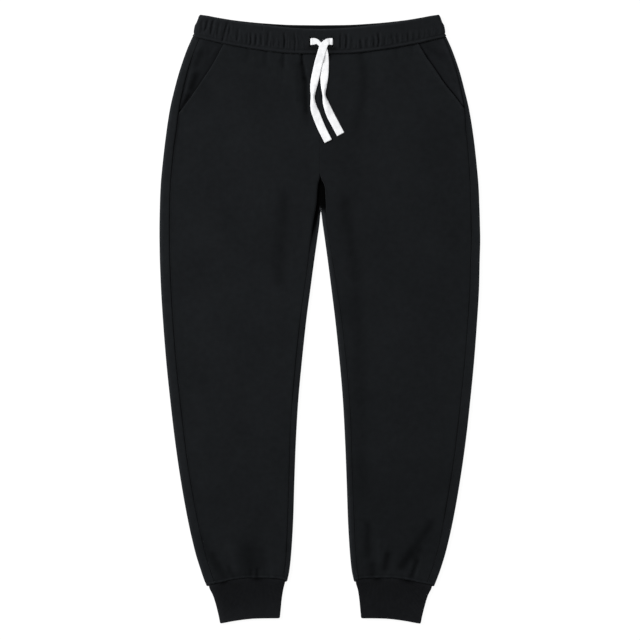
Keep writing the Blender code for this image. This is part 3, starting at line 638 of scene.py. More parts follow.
def row_y(side, down, x, under=0):
    """The y of a row at a distance x from the centre; under is 1 on the underside."""
    low = side.mouth_low[1]
    past_waist = down - WAIST_ZONE
    waist_share = np.clip(-past_waist / WAIST_ZONE, 0, 1)
    waist = low + waist_share * (band_seam(x) - HALF_GAP + under * BAND_PEEK - low)
    cuff_share = np.clip((past_waist - low + CUFF_LEVEL) / CUFF_ZONE, 0, 1)
    cuff = CUFF_LEVEL + cuff_share * (cuff_line(x, under) + HALF_GAP - CUFF_LEVEL)
    return np.where(waist_share > 0, waist, np.where(cuff_share > 0, cuff, low - past_waist))


def meet(side, down, edge, under=0):
    """Where each row meets an edge that is given as x by y: a few steps settle it."""
    x = edge(row_y(side, down, MID_LEG, under))
    for _ in range(MEET_STEPS):
        x = edge(row_y(side, down, x, under))
    return x


# %% [markdown]
# ## The front panels
#
# A front panel runs from the centre seam, and below the crotch from the inseam, out to
# the slant pocket's mouth, and below that to the outseam. Its edges roll down into the
# seams, which draws the dark lines on a black garment, and painted shade along each seam
# deepens them. The hem of the pocket's mouth stands a little higher and carries a painted
# highlight.

# %% Edges and tone of the front panels
SEAM_ROLL = 1.6             # radius of an edge that is turned into a seam
FLAT_ROLL = 0.6             # where the seam is pressed flat and hardly shows
CENTRE_ROLL = 0.35          # the centre front is pressed open and hardly shows
WAIST_ROLL = 1.4            # under the heavy waistband
WAIST_SINK = 0.85
CUFF_ROLL = 2               # the leg bulges over the cuff
POCKET_HEM = 9
POCKET_LIFT = 0.9
HEM_PAINTED_HIGHLIGHT = {"right": 0.20, "left": 0.14}      # a painted highlight along the hem of a pocket mouth
CROTCH_TOP = 252            # where the two inseams meet
PAINTED_SHADE_PER_MM = 0.17          # how much darker the painted shade is for each mm of hollow


def front_inner(side, y):
    return np.maximum(side.inseam(y), 0) + HALF_GAP / 3


def front_outer(side, y):
    outseam = side.outer(y) - side.outseam(y) - HALF_GAP
    return np.where(y < side.mouth_low[1], outseam, np.minimum(mouth_x(side, y), outseam))


def painted_fold_shade(depth):
    """Painted shade in the hollows and a little painted highlight on the ridges."""
    return np.clip(1 - PAINTED_SHADE_PER_MM * depth, 0.3, 1.15)


def seam_shade(distance, strength, width=2.5):
    """Painted shade within a seam's groove."""
    return 1 - strength * hump(np.clip(distance, 0, None), width)


def seam_radius(strength):
    """A seam that is pressed flat has a smaller groove."""
    return FLAT_ROLL + (SEAM_ROLL - FLAT_ROLL) * np.clip(strength / 0.24, 0, 1)


def leg_painted_light(side, x, y):
    """Painted shade below the knee, painted light on the right leg, and a painted highlight just above
    the cuff under a thin painted shadow.
    """
    above_cuff = y - cuff_seam(x)
    cuff_edge_painted_light = 0.42 * hump(above_cuff - 3, 1.2) * (0.55 + 0.45 * uneven(x + 9, 17))
    cuff_edge_painted_light = cuff_edge_painted_light - 0.16 * hump(above_cuff - 5.6, 1.1)
    right_leg_painted_light = 0.035 * ease((150 - y) / 150) * (side.sign < 0)
    return 1.015 + right_leg_painted_light - 0.055 * ease((-150 - y) / 150) + cuff_edge_painted_light


def sunk_edges(x, y, outer_dark, outseam):
    """How far a panel's edges sink into the outseam and the waistband's seam."""
    return (edge_roll(outseam - x, seam_radius(outer_dark))
            + WAIST_SINK * edge_roll(band_seam(x) - y, WAIST_ROLL))


def front_panel(side):
    down = leg_rows(side)[:, None]
    start = meet(side, down, lambda y: front_inner(side, y))
    stop = meet(side, down, lambda y: front_outer(side, y))
    x = start + crowded(1, 0.0016, 0.0145) * (stop - start)
    y = row_y(side, down, x)
    above = y - side.mouth_low[1]
    hem = (above > 0) * ease(1 - (stop - x) / POCKET_HEM) * ease(above / 6)
    inner_dark, outer_dark = side.inseam_dark(y), side.outseam_dark(y)
    at_inseam = ease((CROTCH_TOP - y) / 20)
    inner_roll = CENTRE_ROLL + (seam_radius(inner_dark) - CENTRE_ROLL) * at_inseam
    z = lay_height(side, x, y) + POCKET_LIFT * hem - edge_roll(x - start, inner_roll)
    z -= sunk_edges(x, y, outer_dark, stop) + edge_roll(y - cuff_seam(x), CUFF_ROLL)
    # Painted shade in the fold hollows and the seams, a painted highlight on the pocket hem, a patch of
    # painted shade on the right leg beside its pocket, and the leg's painted light
    painted_shading = painted_fold_shade(fold_depth(side.folds, x, y)) + HEM_PAINTED_HIGHLIGHT[side.name] * hem
    painted_shading -= 0.05 * hump(stop - x - 30, 15) * ease((y - 360) / 30) * (side.sign < 0)
    painted_shading *= 1 - at_inseam * (1 - seam_shade(x - start, inner_dark))
    painted_shading *= 1 - ease(-above / 4) * (1 - seam_shade(stop - x, outer_dark))
    piece = side_mesh(("front", "cloth"), side, (x, y, z), painted_shading * leg_painted_light(side, x, y), folded=False)
    thicken(piece)
    return piece


def both(make):
    """One piece for each side."""
    pieces = {side.name: make(side) for side in SIDES}
    print("points in", pieces["left"].name + ":", len(pieces["left"].data.vertices))
    return pieces


fronts = both(front_panel)

# %% [markdown]
# ## The back panels
#
# A back panel starts at the outseam on the top side, wraps round the outer fold, covers
# the underside, wraps round the inner fold and ends at the inseam on top. Just below the
# crotch the backs drop away between the inseams into a hollow, and painted shade makes it
# look black. At the centre back both panels are cut straight, and their edges roll up into
# the seam.

# %% Depth of the hollow below the crotch
HOLLOW_DEPTH = 4.6
GROOVE_END = {"left": 176, "right": 112}         # how far down the inseam it runs
GROOVE_SPAN = {"left": 16, "right": 66}


def crotch_hollow(side, x, y):
    """1 inside the hollow between the inseams, fading down along each inseam."""
    reach = ease((y - GROOVE_END[side.name]) / GROOVE_SPAN[side.name])
    from_seam = side.inseam(y) - x
    close = ease(1 - (from_seam - 5) / 4)
    open_part = ease((y - 174) / 7)
    return reach * np.maximum(close, open_part) * (x < 60)


# %% One section of a back panel after another
ARC_ANGLES = np.concatenate([np.linspace(90, 0, 10), np.linspace(0, -90, 7)[1:]])
UNDER_STEP = 0.019          # share of the underside between columns
FAR = 1000                  # so far from a seam that it has no effect
CENTRE_BACK = 1.9           # the centre back seam lies this far to the wearer's left
CENTRE_CLEAR = 0.01         # from its line to either panel
STRIP_PAINTED_LIGHT = 1.10           # painted light: the back panels' strips on top are a little lighter than the front's
RIM_PAINTED_LIGHT = {"right": 0.42, "left": 0.54}      # and a painted highlight where the cloth stands up round a fold


def centre_back(side):
    """The centre back seam, as a distance on this side's own plan."""
    return side.sign * CENTRE_BACK + CENTRE_CLEAR


def under_height(side, x, y):
    """How far the underside lifts off the table in its hollows."""
    from_fold = np.minimum(side.outer(y) - x, x - side.inner(y))
    fade = ease((from_fold - FOLD_RADIUS) / 14)
    wander = 0.25 * np.clip(uneven(x - 0.4 * y, 131) * uneven(y + 0.3 * x, 149), 0, 1)
    ripple = 0.35 * np.clip(uneven(x, 17), 0, 1) * hump(y - cuff_under_seam(x), 14)
    return fade * (fold_depth(side.under_folds, x, y) + wander + ripple)


def arc_columns(side, down, outer, angles):
    """Columns round a side fold: wide on the top side and tight underneath."""
    edge, inward = (side.outer, -1) if outer else (side.inner, 1)
    columns = []
    for angle in np.radians(angles):
        under = (1 - math.sin(angle)) / 2
        fold = meet(side, down, edge, under)
        width = roll_width(side, row_y(side, down, fold, under), outer) if angle > 0 else FOLD_RADIUS
        x = fold + inward * width * (1 - math.cos(angle))
        y = row_y(side, down, x, under)
        z = FOLD_RADIUS * (1 + math.sin(angle))
        sunk = HOLLOW_DEPTH * crotch_hollow(side, x, y) * (z / (2 * FOLD_RADIUS)) ** 2
        columns.append((x, y, z - sunk, (-inward * math.cos(angle), math.sin(angle)), under))
    return columns


def flat_columns(side, down, start, stop, shares, under):
    """Columns across the top strips, or across the underside."""
    columns = []
    for share in shares:
        x = start + share * (stop - start)
        y = row_y(side, down, x, under)
        sunk = 0 if under else HOLLOW_DEPTH * crotch_hollow(side, x, y)
        z = under_height(side, x, y) if under else lay_height(side, x, y) - sunk
        columns.append((x, y, z, (0, -1 if under else 1), under))
    return columns


def back_columns(side, down):
    outseam = meet(side, down, lambda y: side.outer(y) - side.outseam(y) + HALF_GAP)
    outer_crown = meet(side, down, lambda y: side.outer(y) - roll_width(side, y, True))
    outer_low = meet(side, down, side.outer, 1) - FOLD_RADIUS
    inner_low = meet(side, down, side.inner, 1) + FOLD_RADIUS
    centre = np.maximum(inner_low, centre_back(side))
    inner_crown = meet(side, down, lambda y: side.inner(y) + roll_width(side, y, False))
    inseam = meet(side, down, lambda y: side.inseam(y) - HALF_GAP)
    strip = crowded(1, 0.04, 0.12)
    return (flat_columns(side, down, outseam, outer_crown, strip[:-1], 0)
            + arc_columns(side, down, True, ARC_ANGLES)
            + flat_columns(side, down, outer_low, centre, crowded(1, 0.004, UNDER_STEP)[1:], 1)
            + flat_columns(side, down, centre, inner_low, (0.33, 0.67), 1)
            + arc_columns(side, down, False, ARC_ANGLES[::-1])
            + flat_columns(side, down, inner_crown, inseam, strip[1:], 0)), outseam, inseam


def back_panel(side):
    down = leg_rows(side, 0.5)
    columns, outseam, inseam = back_columns(side, down)
    x, y, z = (np.stack([np.broadcast_to(column[k], down.shape) for column in columns], axis=1)
               for k in range(3))
    outward, under = (np.array([column[k] for column in columns], float) for k in (3, 4))
    top = under < 0.5
    from_outseam = np.where(top & (x > MID_LEG), x - outseam[:, None], FAR)
    from_inseam = np.where(top & (x < MID_LEG), inseam[:, None] - x, FAR)
    outer_dark, inner_dark = side.outseam_dark(y), side.inseam_dark(y)
    roll = (WAIST_SINK * edge_roll(band_seam(x) + under * BAND_PEEK - y, WAIST_ROLL)
            + edge_roll(y - cuff_line(x, under), CUFF_ROLL) * np.where(top, 1, 0.6)
            + edge_roll(from_outseam, seam_radius(outer_dark))
            + edge_roll(from_inseam, seam_radius(inner_dark))
            + ~top * edge_roll(x - centre_back(side), SEAM_ROLL) * (x < MID_LEG))
    x = x - outward[:, 0] * roll
    z = np.maximum(z - outward[:, 1] * roll, 0)
    depth = np.where(top, fold_depth(side.folds, x, y), 1.2 * fold_depth(side.under_folds, x, y))
    # Painted shade in the fold hollows, the crotch hollow and the seam grooves; painted light on the top
    # strips and a painted highlight round each fold
    painted_shading = STRIP_PAINTED_LIGHT * painted_fold_shade(depth) * (1 - 0.96 * top * crotch_hollow(side, x, y))
    painted_shading *= seam_shade(from_outseam, outer_dark) * seam_shade(from_inseam, inner_dark)
    fold_rim_painted_light = RIM_PAINTED_LIGHT[side.name] + 0.40 * top * ease((y - 360) / 20) * (side.sign > 0)
    from_fold = np.minimum(side.outer(y) - x, x - side.inner(y))
    painted_shading *= np.where(top, leg_painted_light(side, x, y), 1) + fold_rim_painted_light * hump(from_fold, 4.6)
    piece = side_mesh(("back", "cloth"), side, (x, y, z), painted_shading)

    def cut_centre_back(build):
        weld(build)
        everything = build.verts[:] + build.edges[:] + build.faces[:]
        bmesh.ops.bisect_plane(build, geom=everything, dist=1e-7, clear_inner=True,
                               plane_co=(side.sign * centre_back(side) * MM, 0, 0),
                               plane_no=(side.sign, 0, 0))

    tidy(piece, cut_centre_back)
    thicken(piece)
    return piece


backs = both(back_panel)

# %% [markdown]
# ## The pocket facings
#
# Inside each slant mouth shows a facing: the same fleece, sunk a little below the front,
# level with it at the outseam and running on out of sight under the hem. The wearer's
# right pocket stands slightly open, so its facing is folded and sunk, and a broad painted
# shadow lies on it beside the hem. The left one lies shut, with only a thin line of painted
# shade.

# %% Facing heights, folds and painted shade
POCKET_UNDERLAP = 22        # facing hidden under the front panel
POCKET_SINK = 2.3           # how far it lies below the front panel where it is wide open
SINK_START = 4              # open width where the facing starts to sink
SINK_SPAN = 14              # it is fully sunk this much further up
FACING_LEVEL = 0.8          # share of the way across where it is level again
FACING_FOLDS = {
    "right": ((200, 452, 208, 434, 6, 6, 1.2), (176, 460, 184, 447, 2.5, 3, -0.7),
              (209, 413, 216, 392, 7, 5, 1.9), (222, 378, 230, 363, 5, 4, 1.5),
              (194, 438, 196, 422, 7, 7, -0.3), (220, 416, 227, 386, 4, 4, -0.4)),
    "left": ((186, 461, 208, 446, 6, 7, 0.9), (214, 430, 238, 380, 4, 4, -0.5)),
}
MOUTH_SHADE = {"right": (3.2, 0.66), "left": (2.6, 0.92)}      # width and strength of the painted shade beside the mouth
FACING_EDGE_HIGHLIGHT = {"right": 0.20, "left": 0.32}    # painted highlight where it comes level at the outseam


def pocket_facing(side):
    down = crowded(0.95 * WAIST_ZONE, 0.35, 2.4)[:, None]
    mouth = meet(side, down, lambda y: mouth_x(side, y))
    outseam = meet(side, down, lambda y: side.outer(y) - side.outseam(y) - HALF_GAP)
    open_width = outseam - mouth
    hidden = open_width - SINK_START - SINK_SPAN
    sunk = POCKET_SINK * ease((open_width - SINK_START) / SINK_SPAN)
    sunk = sunk * (1 - 0.75 * ease(1 - (down - 6) / 22))
    mouth_edge = mouth + 4 * HALF_GAP * (1 - ease(hidden / 2))
    tucked = mouth_edge - POCKET_UNDERLAP * ease(hidden / 12) * np.linspace(1, 0, 7)[:-1]
    x = np.hstack([tucked, mouth_edge + crowded(1, 0.008, 0.04) * (outseam - mouth_edge)])
    y = row_y(side, down, x)
    level = ease((x - mouth_edge) / (FACING_LEVEL * (outseam - mouth_edge)))
    folds = fold_depth(FACING_FOLDS[side.name], x, y)
    outer_dark = side.outseam_dark(y)
    seam_height = lay_height(side, outseam, row_y(side, down, outseam))
    z = level * seam_height + (1 - level) * (LAY_HEIGHT - sunk)
    z -= ease((x - mouth) / 3) * ease((outseam - x) / 5) * folds
    z -= sunk_edges(x, y, outer_dark, outseam)
    # Painted shade in the folds, beside the mouth and in the outseam; painted light on the top corner and
    # along the outseam
    width, strength = MOUTH_SHADE[side.name]
    strength = strength * (0.60 + 0.40 * ease((435 - y) / 40))
    corner_painted_light = 0.16 * ease((x - 196) / 14) * ease((y - 448) / 14)
    painted_shading = (painted_fold_shade(1.2 * folds) + corner_painted_light) * seam_shade(x - mouth, strength, width)
    painted_shading = painted_shading + FACING_EDGE_HIGHLIGHT[side.name] * hump(outseam - x - 3.5, 3.5)
    painted_shading = painted_shading * seam_shade(outseam - x, outer_dark)
    piece = side_mesh(("pocket_facing", "cloth"), side, (x, y, z), painted_shading, folded=False)
    tidy(piece, weld)
    thicken(piece)
    return piece


facings = both(pocket_facing)

# %% [markdown]
# ## The waistband
#
# The waistband is a flattened tube of fleece sewn round wide elastic, which pulls the
# cloth into upright gathers. They run from under a smooth rolled top down to a line of
# topstitching, and under that a plain ridge meets the panels. They are deep and lean
# over at the wearer's right hip, and nearly vanish on either side of the drawstring.
#
# The ring is one grid too: each column is a section of the band's wall, and the columns
# go once round. A gather is a trough pressed into the wall from outside.

# %% Gathers across the front, listed one by one
GATHERS = (                 # x, lean, depth and width, then the shares where it starts and ends
    (-200, 7, 1.2, 1.8, 0.16, 0.86), (-192.7, 14, 1.9, 1.7, 0.26, 0.92),
    (-182.7, 9, 2, 1.8, 0.20, 1.00), (-176.5, 7, 0.9, 1.5, 0.10, 0.60),
    (-171.8, 6, 1.5, 1.7, 0.24, 0.90), (-160.1, 11, 2.2, 1.7, 0.03, 0.98),
    (-153, 2, 1.5, 1.6, 0.34, 1.00), (-147, 1, 0.6, 1.6, 0.10, 0.36), (-138.2, 6, 1.7, 1.7, 0.18, 0.76),
    (-129.5, 1, 0.6, 1.8, 0.10, 0.45), (-122.3, 0.5, 1.4, 1.7, 0.12, 0.66),
    (-116.3, 1.5, 1.8, 1.7, 0.08, 0.68), (-107.8, 0.5, 1.9, 1.8, 0.10, 0.68),
    (-96, 0.5, 1.4, 1.2, 0.72, 0.98), (-98.5, 1, 1.3, 1.8, 0.14, 0.70),
    (-87.1, 1.5, 1.9, 1.8, 0.14, 0.80), (-81.5, 0.5, 0.5, 1.8, 0.10, 0.50),
    (-76.9, 1, 1.3, 1.7, 0.14, 0.60), (-68, 2.5, 1, 1.8, 0.08, 0.52), (-59.2, 0, 2.4, 1.6, 0.12, 0.82),
    (-54.5, 0.5, 1.3, 1.4, 0.14, 0.72), (-41.5, -0.5, 1.5, 1.2, 0.03, 0.88),
    (-29, 0, 0.4, 1.5, 0.40, 0.90), (-8.2, 0, 0.7, 1.2, 0.66, 0.92), (35.9, -0.5, 1.8, 1.5, 0.14, 0.84),
    (40.1, 0, 0.9, 1.3, 0.14, 0.70), (46.1, 0, 2.1, 1.7, 0.12, 0.80), (56.5, 0.5, 1.3, 1.9, 0.12, 0.62),
    (62.5, 0, 0.7, 1.6, 0.10, 0.45), (70.3, -2, 2.2, 2.1, 0.06, 0.58), (81.3, -1, 1.8, 2, 0.10, 0.62),
    (92.1, -2.5, 1.8, 2, 0.08, 0.68), (100.4, 0.5, 2.5, 1.7, 0.06, 0.74),
    (110.3, -1, 1.1, 2, 0.10, 0.52), (117, 0, 0.5, 1.8, 0.12, 0.45), (124.1, 0, 1.6, 1.8, 0.08, 0.62),
    (132.5, -2, 1.6, 2, 0.10, 0.62), (141.1, 0, 0.8, 1.7, 0.12, 0.60),
    (150.6, -0.5, 1.7, 1.9, 0.08, 0.62), (161.5, -1, 0.7, 2.2, 0.10, 0.50),
    (171.1, -1, 1.1, 2, 0.08, 0.50), (180, -0.5, 0.8, 1.8, 0.10, 0.50), (189, 0, 0.6, 2, 0.10, 0.50),
    (199, -1, 0.6, 2.4, 0.10, 0.64),
)


def gather_depth(x, share):
    """Depth of the gathers across the front; share goes from the seam to the top."""
    total = np.zeros(np.broadcast(x, share).shape)
    for place, lean, depth, width, low, high in GATHERS:
        bend = 0.9 * uneven(46 * share + 7 * place, 31)
        away = x - place - lean * (share - 0.5) - bend
        reach = ease((share - low) / 0.10) * ease((high - share) / 0.22)
        width = 1.15 * width
        shape = hump(away, width) - 0.45 * hump(away - 2.1 * width, 1.2 * width)
        total += 0.78 * depth * shape * reach
    drawn_in = ease((share - 0.12) / 0.1) * ease((0.66 - share) / 0.3)
    quiet = 1 - hump(x - 3, 24)
    return total + 0.42 * uneven(x - 4 * share * np.sign(x), 8.3) * drawn_in * quiet


def hidden_gathers(x, share):
    """The same sort of gathers on the side that lies on the table."""
    reach = ease((share - 0.10) / 0.10) * ease((0.85 - share) / 0.3)
    lean = 4 * (share - 0.5)
    return 1.1 * np.clip(uneven(x + lean, 10.5), 0, 1) * reach


# %% The wall of the band, and the buttonholes through it
BAND_HEIGHT = 46
BAND_WALL = 4.5             # doubled cloth with the elastic between
TOPSTITCH_RISE = 5.4        # from the seam up to the line of topstitching
TOP_ROLL = 5.5              # the band's top takes this long to round over
SLOT_SHADES = (             # x, y, width and strength of the painted shadow below each free end's loop
    (-11, 460, 9, 0.50), (21, 459, 9.5, 0.62),
)
RIDGE_HIGHLIGHTS = ((-70, 6), (66, 6), (175, 4))                 # x and width of painted highlights on the ridge
SLOT_WIDTH = 3
SLOT_LENGTH = 18
SLOT_MIDDLE = 469.5


def quarter_turn(step):
    """Sines from 0 to 90 degrees: places that crowd together toward the end of a roll."""
    return np.sin(np.radians(np.arange(0, 91, step)))


OUTER_RISES = np.concatenate([crowded(12, 0.3, 0.9), np.arange(13.6, 40, 1.9),
                              BAND_HEIGHT - TOP_ROLL * (1 - quarter_turn(10))])
INNER_RISES = np.array([44.9, 43, 36, 24, 12, 0])


def band_inset(rise):
    """How far the outer face lies inside the band's fullest surface."""
    over = np.clip((rise - BAND_HEIGHT) / TOP_ROLL + 1, 0, 1)
    return (BAND_WALL / 2 * quarter(over) + edge_roll(rise, 1.5)
            + 0.95 * hump(rise - TOPSTITCH_RISE, 1.6))


def ridge_ripple(x):
    """Tiny pleats that the topstitching pulls into the ridge, in uneven patches."""
    patches = np.clip(uneven(x + 31, 64), 0, 1)
    return 0.42 * patches * (0.5 + 0.5 * np.sin(2 * math.pi * x / 2.7))


def buttonhole(x, y):
    """1 inside the two buttonholes."""
    along = ease((SLOT_LENGTH / 2 + 0.5 - np.abs(y - SLOT_MIDDLE)) / 0.8)
    return sum(along * ease((SLOT_WIDTH / 2 + 0.5 - np.abs(x - side.sign * side.slot_x)) / 0.6)
               for side in SIDES)


# %% The waistband as one ring
FRONT_COLUMNS = 560
UNDER_COLUMNS = 300


def ring_stations(top_count, under_count, turn_count):
    """slide (-1 to 1 across the flat) and angle (90 is the top) once round a ring."""
    turn = np.linspace(90, -90, turn_count + 2)[1:-1]
    side, over, below = np.ones(turn_count), np.ones(top_count + 1), np.ones(under_count + 1)
    slide = np.concatenate([np.linspace(-1, 1, top_count + 1), side,
                            np.linspace(1, -1, under_count + 1), -side, [-1]])
    angle = np.concatenate([90 * over, turn, -90 * below, turn[::-1], [90]])
    return slide, np.radians(angle)


def ring_place(slide, angle, reach, radius, inset):
    """Across and up on a ring's wall, which lies inset within its full size."""
    return slide * (reach + (radius - inset) * np.cos(angle)), radius + (radius - inset) * np.sin(angle)


def waistband():
    slide, angle = ring_stations(FRONT_COLUMNS, UNDER_COLUMNS, 11)
    under = (1 - np.sin(angle)) / 2
    top, bottom = np.sin(angle) > 0.99, under > 0.99
    rise = np.concatenate([OUTER_RISES, INNER_RISES, OUTER_RISES[:1]])[:, None]
    outer = (np.arange(len(rise)) < len(OUTER_RISES))[:, None]
    share = rise / BAND_HEIGHT
    reach = band_half(share) - BAND_RADIUS
    x, _ = ring_place(slide, angle, reach, BAND_RADIUS, 0)
    seam = band_seam(np.abs(x)) + HALF_GAP
    y = seam + share * (band_top(np.abs(x)) - seam) + under * back_rise(x, share)
    y = y - (1 - under) * share**3 * FRONT_DIP * hump(x, 78)
    gathers = np.where(top, gather_depth(x, share), 0) + np.where(bottom, hidden_gathers(x, share), 0)
    gathers += 0.35 * ((under > 0.01) & ~bottom) * np.clip(uneven(angle * 9, 8), 0, 1)
    ripple = ridge_ripple(x) * hump(rise - 2.8, 2.2) * (top | bottom)
    holes = top * buttonhole(x, y)
    inset = np.where(outer, band_inset(rise) + gathers + ripple + 3.4 * holes, BAND_WALL)
    inset[-1] = inset[0]
    x, z = ring_place(slide, angle, reach, BAND_RADIUS, inset)
    # Painted highlights on the ridge, the rolled top and the band's two ends, less the painted shadows
    # below the loops
    band_painted_light = sum(0.25 * hump(x - place, width) for place, width in RIDGE_HIGHLIGHTS) + 0.10
    band_painted_light = band_painted_light * hump(rise - 3, 1.1) + 0.50 * ease((rise - 40.5) / 4.5)
    for place, height, wide, strength in SLOT_SHADES:
        band_painted_light -= strength * hump(x - place, wide) * hump(y - height, 4.6)
    band_painted_light = top * band_painted_light + 0.32 * hump(x + band_half(share), 9) + 0.30 * hump(band_half(share) - x, 3.5)
    # Painted shade in the gathers and ripples, in the gap above the back band, on the inside and in the
    # buttonholes
    painted_shading = np.clip(1 - 0.17 * gathers - 0.2 * ripple + band_painted_light, 0.2, 1.5)
    painted_shading *= 1 - 0.25 * ~top * ease((rise - 38) / 5)
    painted_shading = np.where(outer, painted_shading, 0.5) * (1 - 0.95 * holes)
    grid = np.stack([x + BAND_SHIFT, y, z], axis=2)
    piece = grid_mesh("waistband_cloth", grid, cloth_texture(grid), painted_shading, flip=True, ring=True)
    tidy(piece, weld)
    stitch_line = grid[np.argmin(np.abs(OUTER_RISES - TOPSTITCH_RISE))]
    return piece, stitch_line[top], stitch_line[bottom]


band, front_line, back_line = waistband()
print("points in the waistband:", len(band.data.vertices))

# %% [markdown]
# ## The rib knit cuffs
#
# Rib knit is made of upright ridges with narrow furrows between, so it stretches like a
# spring. The ribs are real relief here, about 2.4 mm apart at the leg. There are just as
# many at the hem, where the cuff is narrower, so they draw closer on the way down.

# %% A cuff as one ring of ribs
CUFF_RADIUS = 3.15
CUFF_WALL = 2.6             # doubled rib knit
CUFF_HEIGHT = 64
CUFF_ROLLED = 0.05          # share of that height where the hem rolls over
RIBS = 50                   # across the top side
RIB_DEPTH = 0.30
CUFF_PAINTED_SHADE = {               # share of the way down the cuff, painted shade under the leg's edge up to a painted highlight at the hem
    "right": curve([(0, 0.62), (0.3, 0.66), (0.55, 0.75), (0.8, 0.87), (0.96, 0.98), (1, 1.12)]),
    "left": curve([(0, 0.62), (0.3, 0.66), (0.55, 0.74), (0.8, 0.80), (0.96, 0.86), (1, 1.08)]),
}
# x and width of the painted shadows that the leg's edge casts on the cuff
CUFF_SHADOWS = {"right": ((162, 9), (106, 12)), "left": ((98, 9), (148, 14))}
CUFF_SIDE_LIGHT = {"right": 0.34, "left": 0.14}      # painted light along the outer side
RIB_COLUMNS = 8             # columns to each rib
CUFF_DOWN = np.concatenate([crowded(1, 0.008, 0.045)[:-6],
                            1 - CUFF_ROLLED * (1 - quarter_turn(15))])
CUFF_INSIDE = np.array([1 - CUFF_ROLLED, 0.7, 0.4, 0.1, 0])


def cuff(side):
    slide, angle = ring_stations(RIBS * RIB_COLUMNS, RIBS * RIB_COLUMNS, 4 * RIB_COLUMNS - 1)
    under = (1 - np.sin(angle)) / 2
    down = np.concatenate([CUFF_DOWN, CUFF_INSIDE, CUFF_DOWN[:1]])[:, None]
    outer = (np.arange(len(down)) < len(CUFF_DOWN))[:, None]
    inner_edge, outer_edge = side.cuff_inner(down), side.cuff_outer(down)
    middle, reach = (inner_edge + outer_edge) / 2, (outer_edge - inner_edge) / 2 - CUFF_RADIUS
    furrow = (0.5 + 0.5 * np.cos(2 * math.pi * np.arange(len(slide)) / RIB_COLUMNS)) ** 1.6
    hem = np.clip((down - 1) / CUFF_ROLLED + 1, 0, 1)
    held = hump(down * CUFF_HEIGHT, 3)
    rolled = CUFF_WALL / 2 * quarter(hem) + 1.1 * held
    relief = RIB_DEPTH * furrow * (1 - 0.8 * held) * (1 - 0.6 * hem)
    inset = np.where(outer, rolled + relief, CUFF_WALL)
    inset[-1] = inset[0]
    x, z = ring_place(slide, angle, reach, CUFF_RADIUS, inset)
    x = x + middle
    seam = cuff_line(x, under) - 2 * HALF_GAP
    y = seam + down * (cuff_hem(x) - seam)
    # Painted shade below the leg's edge and in the rib furrows, painted light on the outer side; the
    # inside is painted dark
    cuff_painted_shadow = sum(0.50 * hump(x - place, width) for place, width in CUFF_SHADOWS[side.name]) - 0.05
    shade = CUFF_PAINTED_SHADE[side.name](down) - cuff_painted_shadow * hump(down * CUFF_HEIGHT, 4)
    shade = shade + CUFF_SIDE_LIGHT[side.name] * hump(outer_edge - x, 8)
    painted_shading = np.where(outer, shade * (1 - 0.10 * furrow), 0.25)
    piece = side_mesh(("cuff", "rib"), side, (x, y, z), painted_shading, ring=True)
    tidy(piece, weld)
    return piece


cuffs = both(cuff)

# %% [markdown]
# ## Sewing thread
#
# Thread is small, but it tells the eye that a line is a seam. Each stitch is a short bead
# that dips into the cloth at both ends, and all the stitches of one seam are one mesh.


# %% Stitches along a line
def bead_shape(sides=6):
    """One stitch: shares of its length, then across and up in thread radii, and its faces."""
    places = np.array([0, 0.12, 0.35, 0.65, 0.88, 1])
    sizes = np.array([0.35, 0.85, 1, 1, 0.85, 0.35])
    lift = 1.1 * np.sin(math.pi * places) - 0.5
    turns = 2 * math.pi * np.arange(sides) / sides
    across = np.outer(sizes, np.cos(turns)).ravel()
    upward = (np.outer(sizes, np.sin(turns)) + lift[:, None]).ravel()
    ring, last = list(range(sides)), (len(places) - 1) * sides
    faces = [(r + k, r + (k + 1) % sides, r + sides + (k + 1) % sides, r + sides + k)
             for r in range(0, last, sides) for k in ring]
    faces += [tuple(ring[::-1]), tuple(last + k for k in ring)]
    return np.repeat(places, sides), across, upward, faces


def stitch_mesh(name, starts, ends, outward, radius):
    """One mesh with a stitch from every start to its end, all in mm."""
    along, across, upward, faces = bead_shape()
    starts, ends = np.array(starts, float), np.array(ends, float)
    outward = unit(np.broadcast_to(outward, starts.shape))
    run = ends - starts
    sideways = unit(np.cross(run, outward))
    points = starts[:, None] + sum(direction[:, None] * share[:, None] for direction, share in (
        (run, along), (sideways, radius * across), (outward, radius * upward)))
    first = np.arange(len(starts)) * len(along)
    mesh = bpy.data.meshes.new(name)
    mesh.from_pydata((points.reshape(-1, 3) * MM).tolist(), [],
                     [tuple(int(k) + v for v in face) for k in first for face in faces])
    mesh.shade_smooth()
    piece = put(name, mesh)
    tidy(piece, lambda build: bmesh.ops.recalc_face_normals(build, faces=build.faces))
    return piece


def stitches_along(line, pitch, length):
    """Starts and ends of stitches spaced evenly along a line of points."""
    line = np.array(line, float)
    travelled = np.append(0, np.linalg.norm(np.diff(line, axis=0), axis=1).cumsum())
    first = np.arange(pitch, travelled[-1] - pitch, pitch)
    return [np.stack([np.interp(at, travelled, line[:, k]) for k in range(3)], axis=1)
            for at in (first, first + length)]


# %% Topstitching round the waistband
THREAD = 0.26               # radius
PITCH, STITCH = 3.3, 2.5    # from stitch to stitch, and the length of one
UP, DOWN = (0, 0, 1), (0, 0, -1)
rows = [stitches_along(line, PITCH, STITCH) for line in (front_line, back_line)]
directions = np.repeat((UP, DOWN), [len(starts) for starts, _ in rows], axis=0)
band_stitches = stitch_mesh("waistband_topstitch", *map(np.vstack, zip(*rows)), directions, THREAD)
print("stitches round the waistband:", len(directions))

# %% [markdown]
# Each pocket mouth has one row of topstitching along its hem, and a bartack, a short
# dense bar of stitches, where the mouth ends at the outseam. Each buttonhole is edged
# with close satin stitches so the drawstring doesn't fray it.


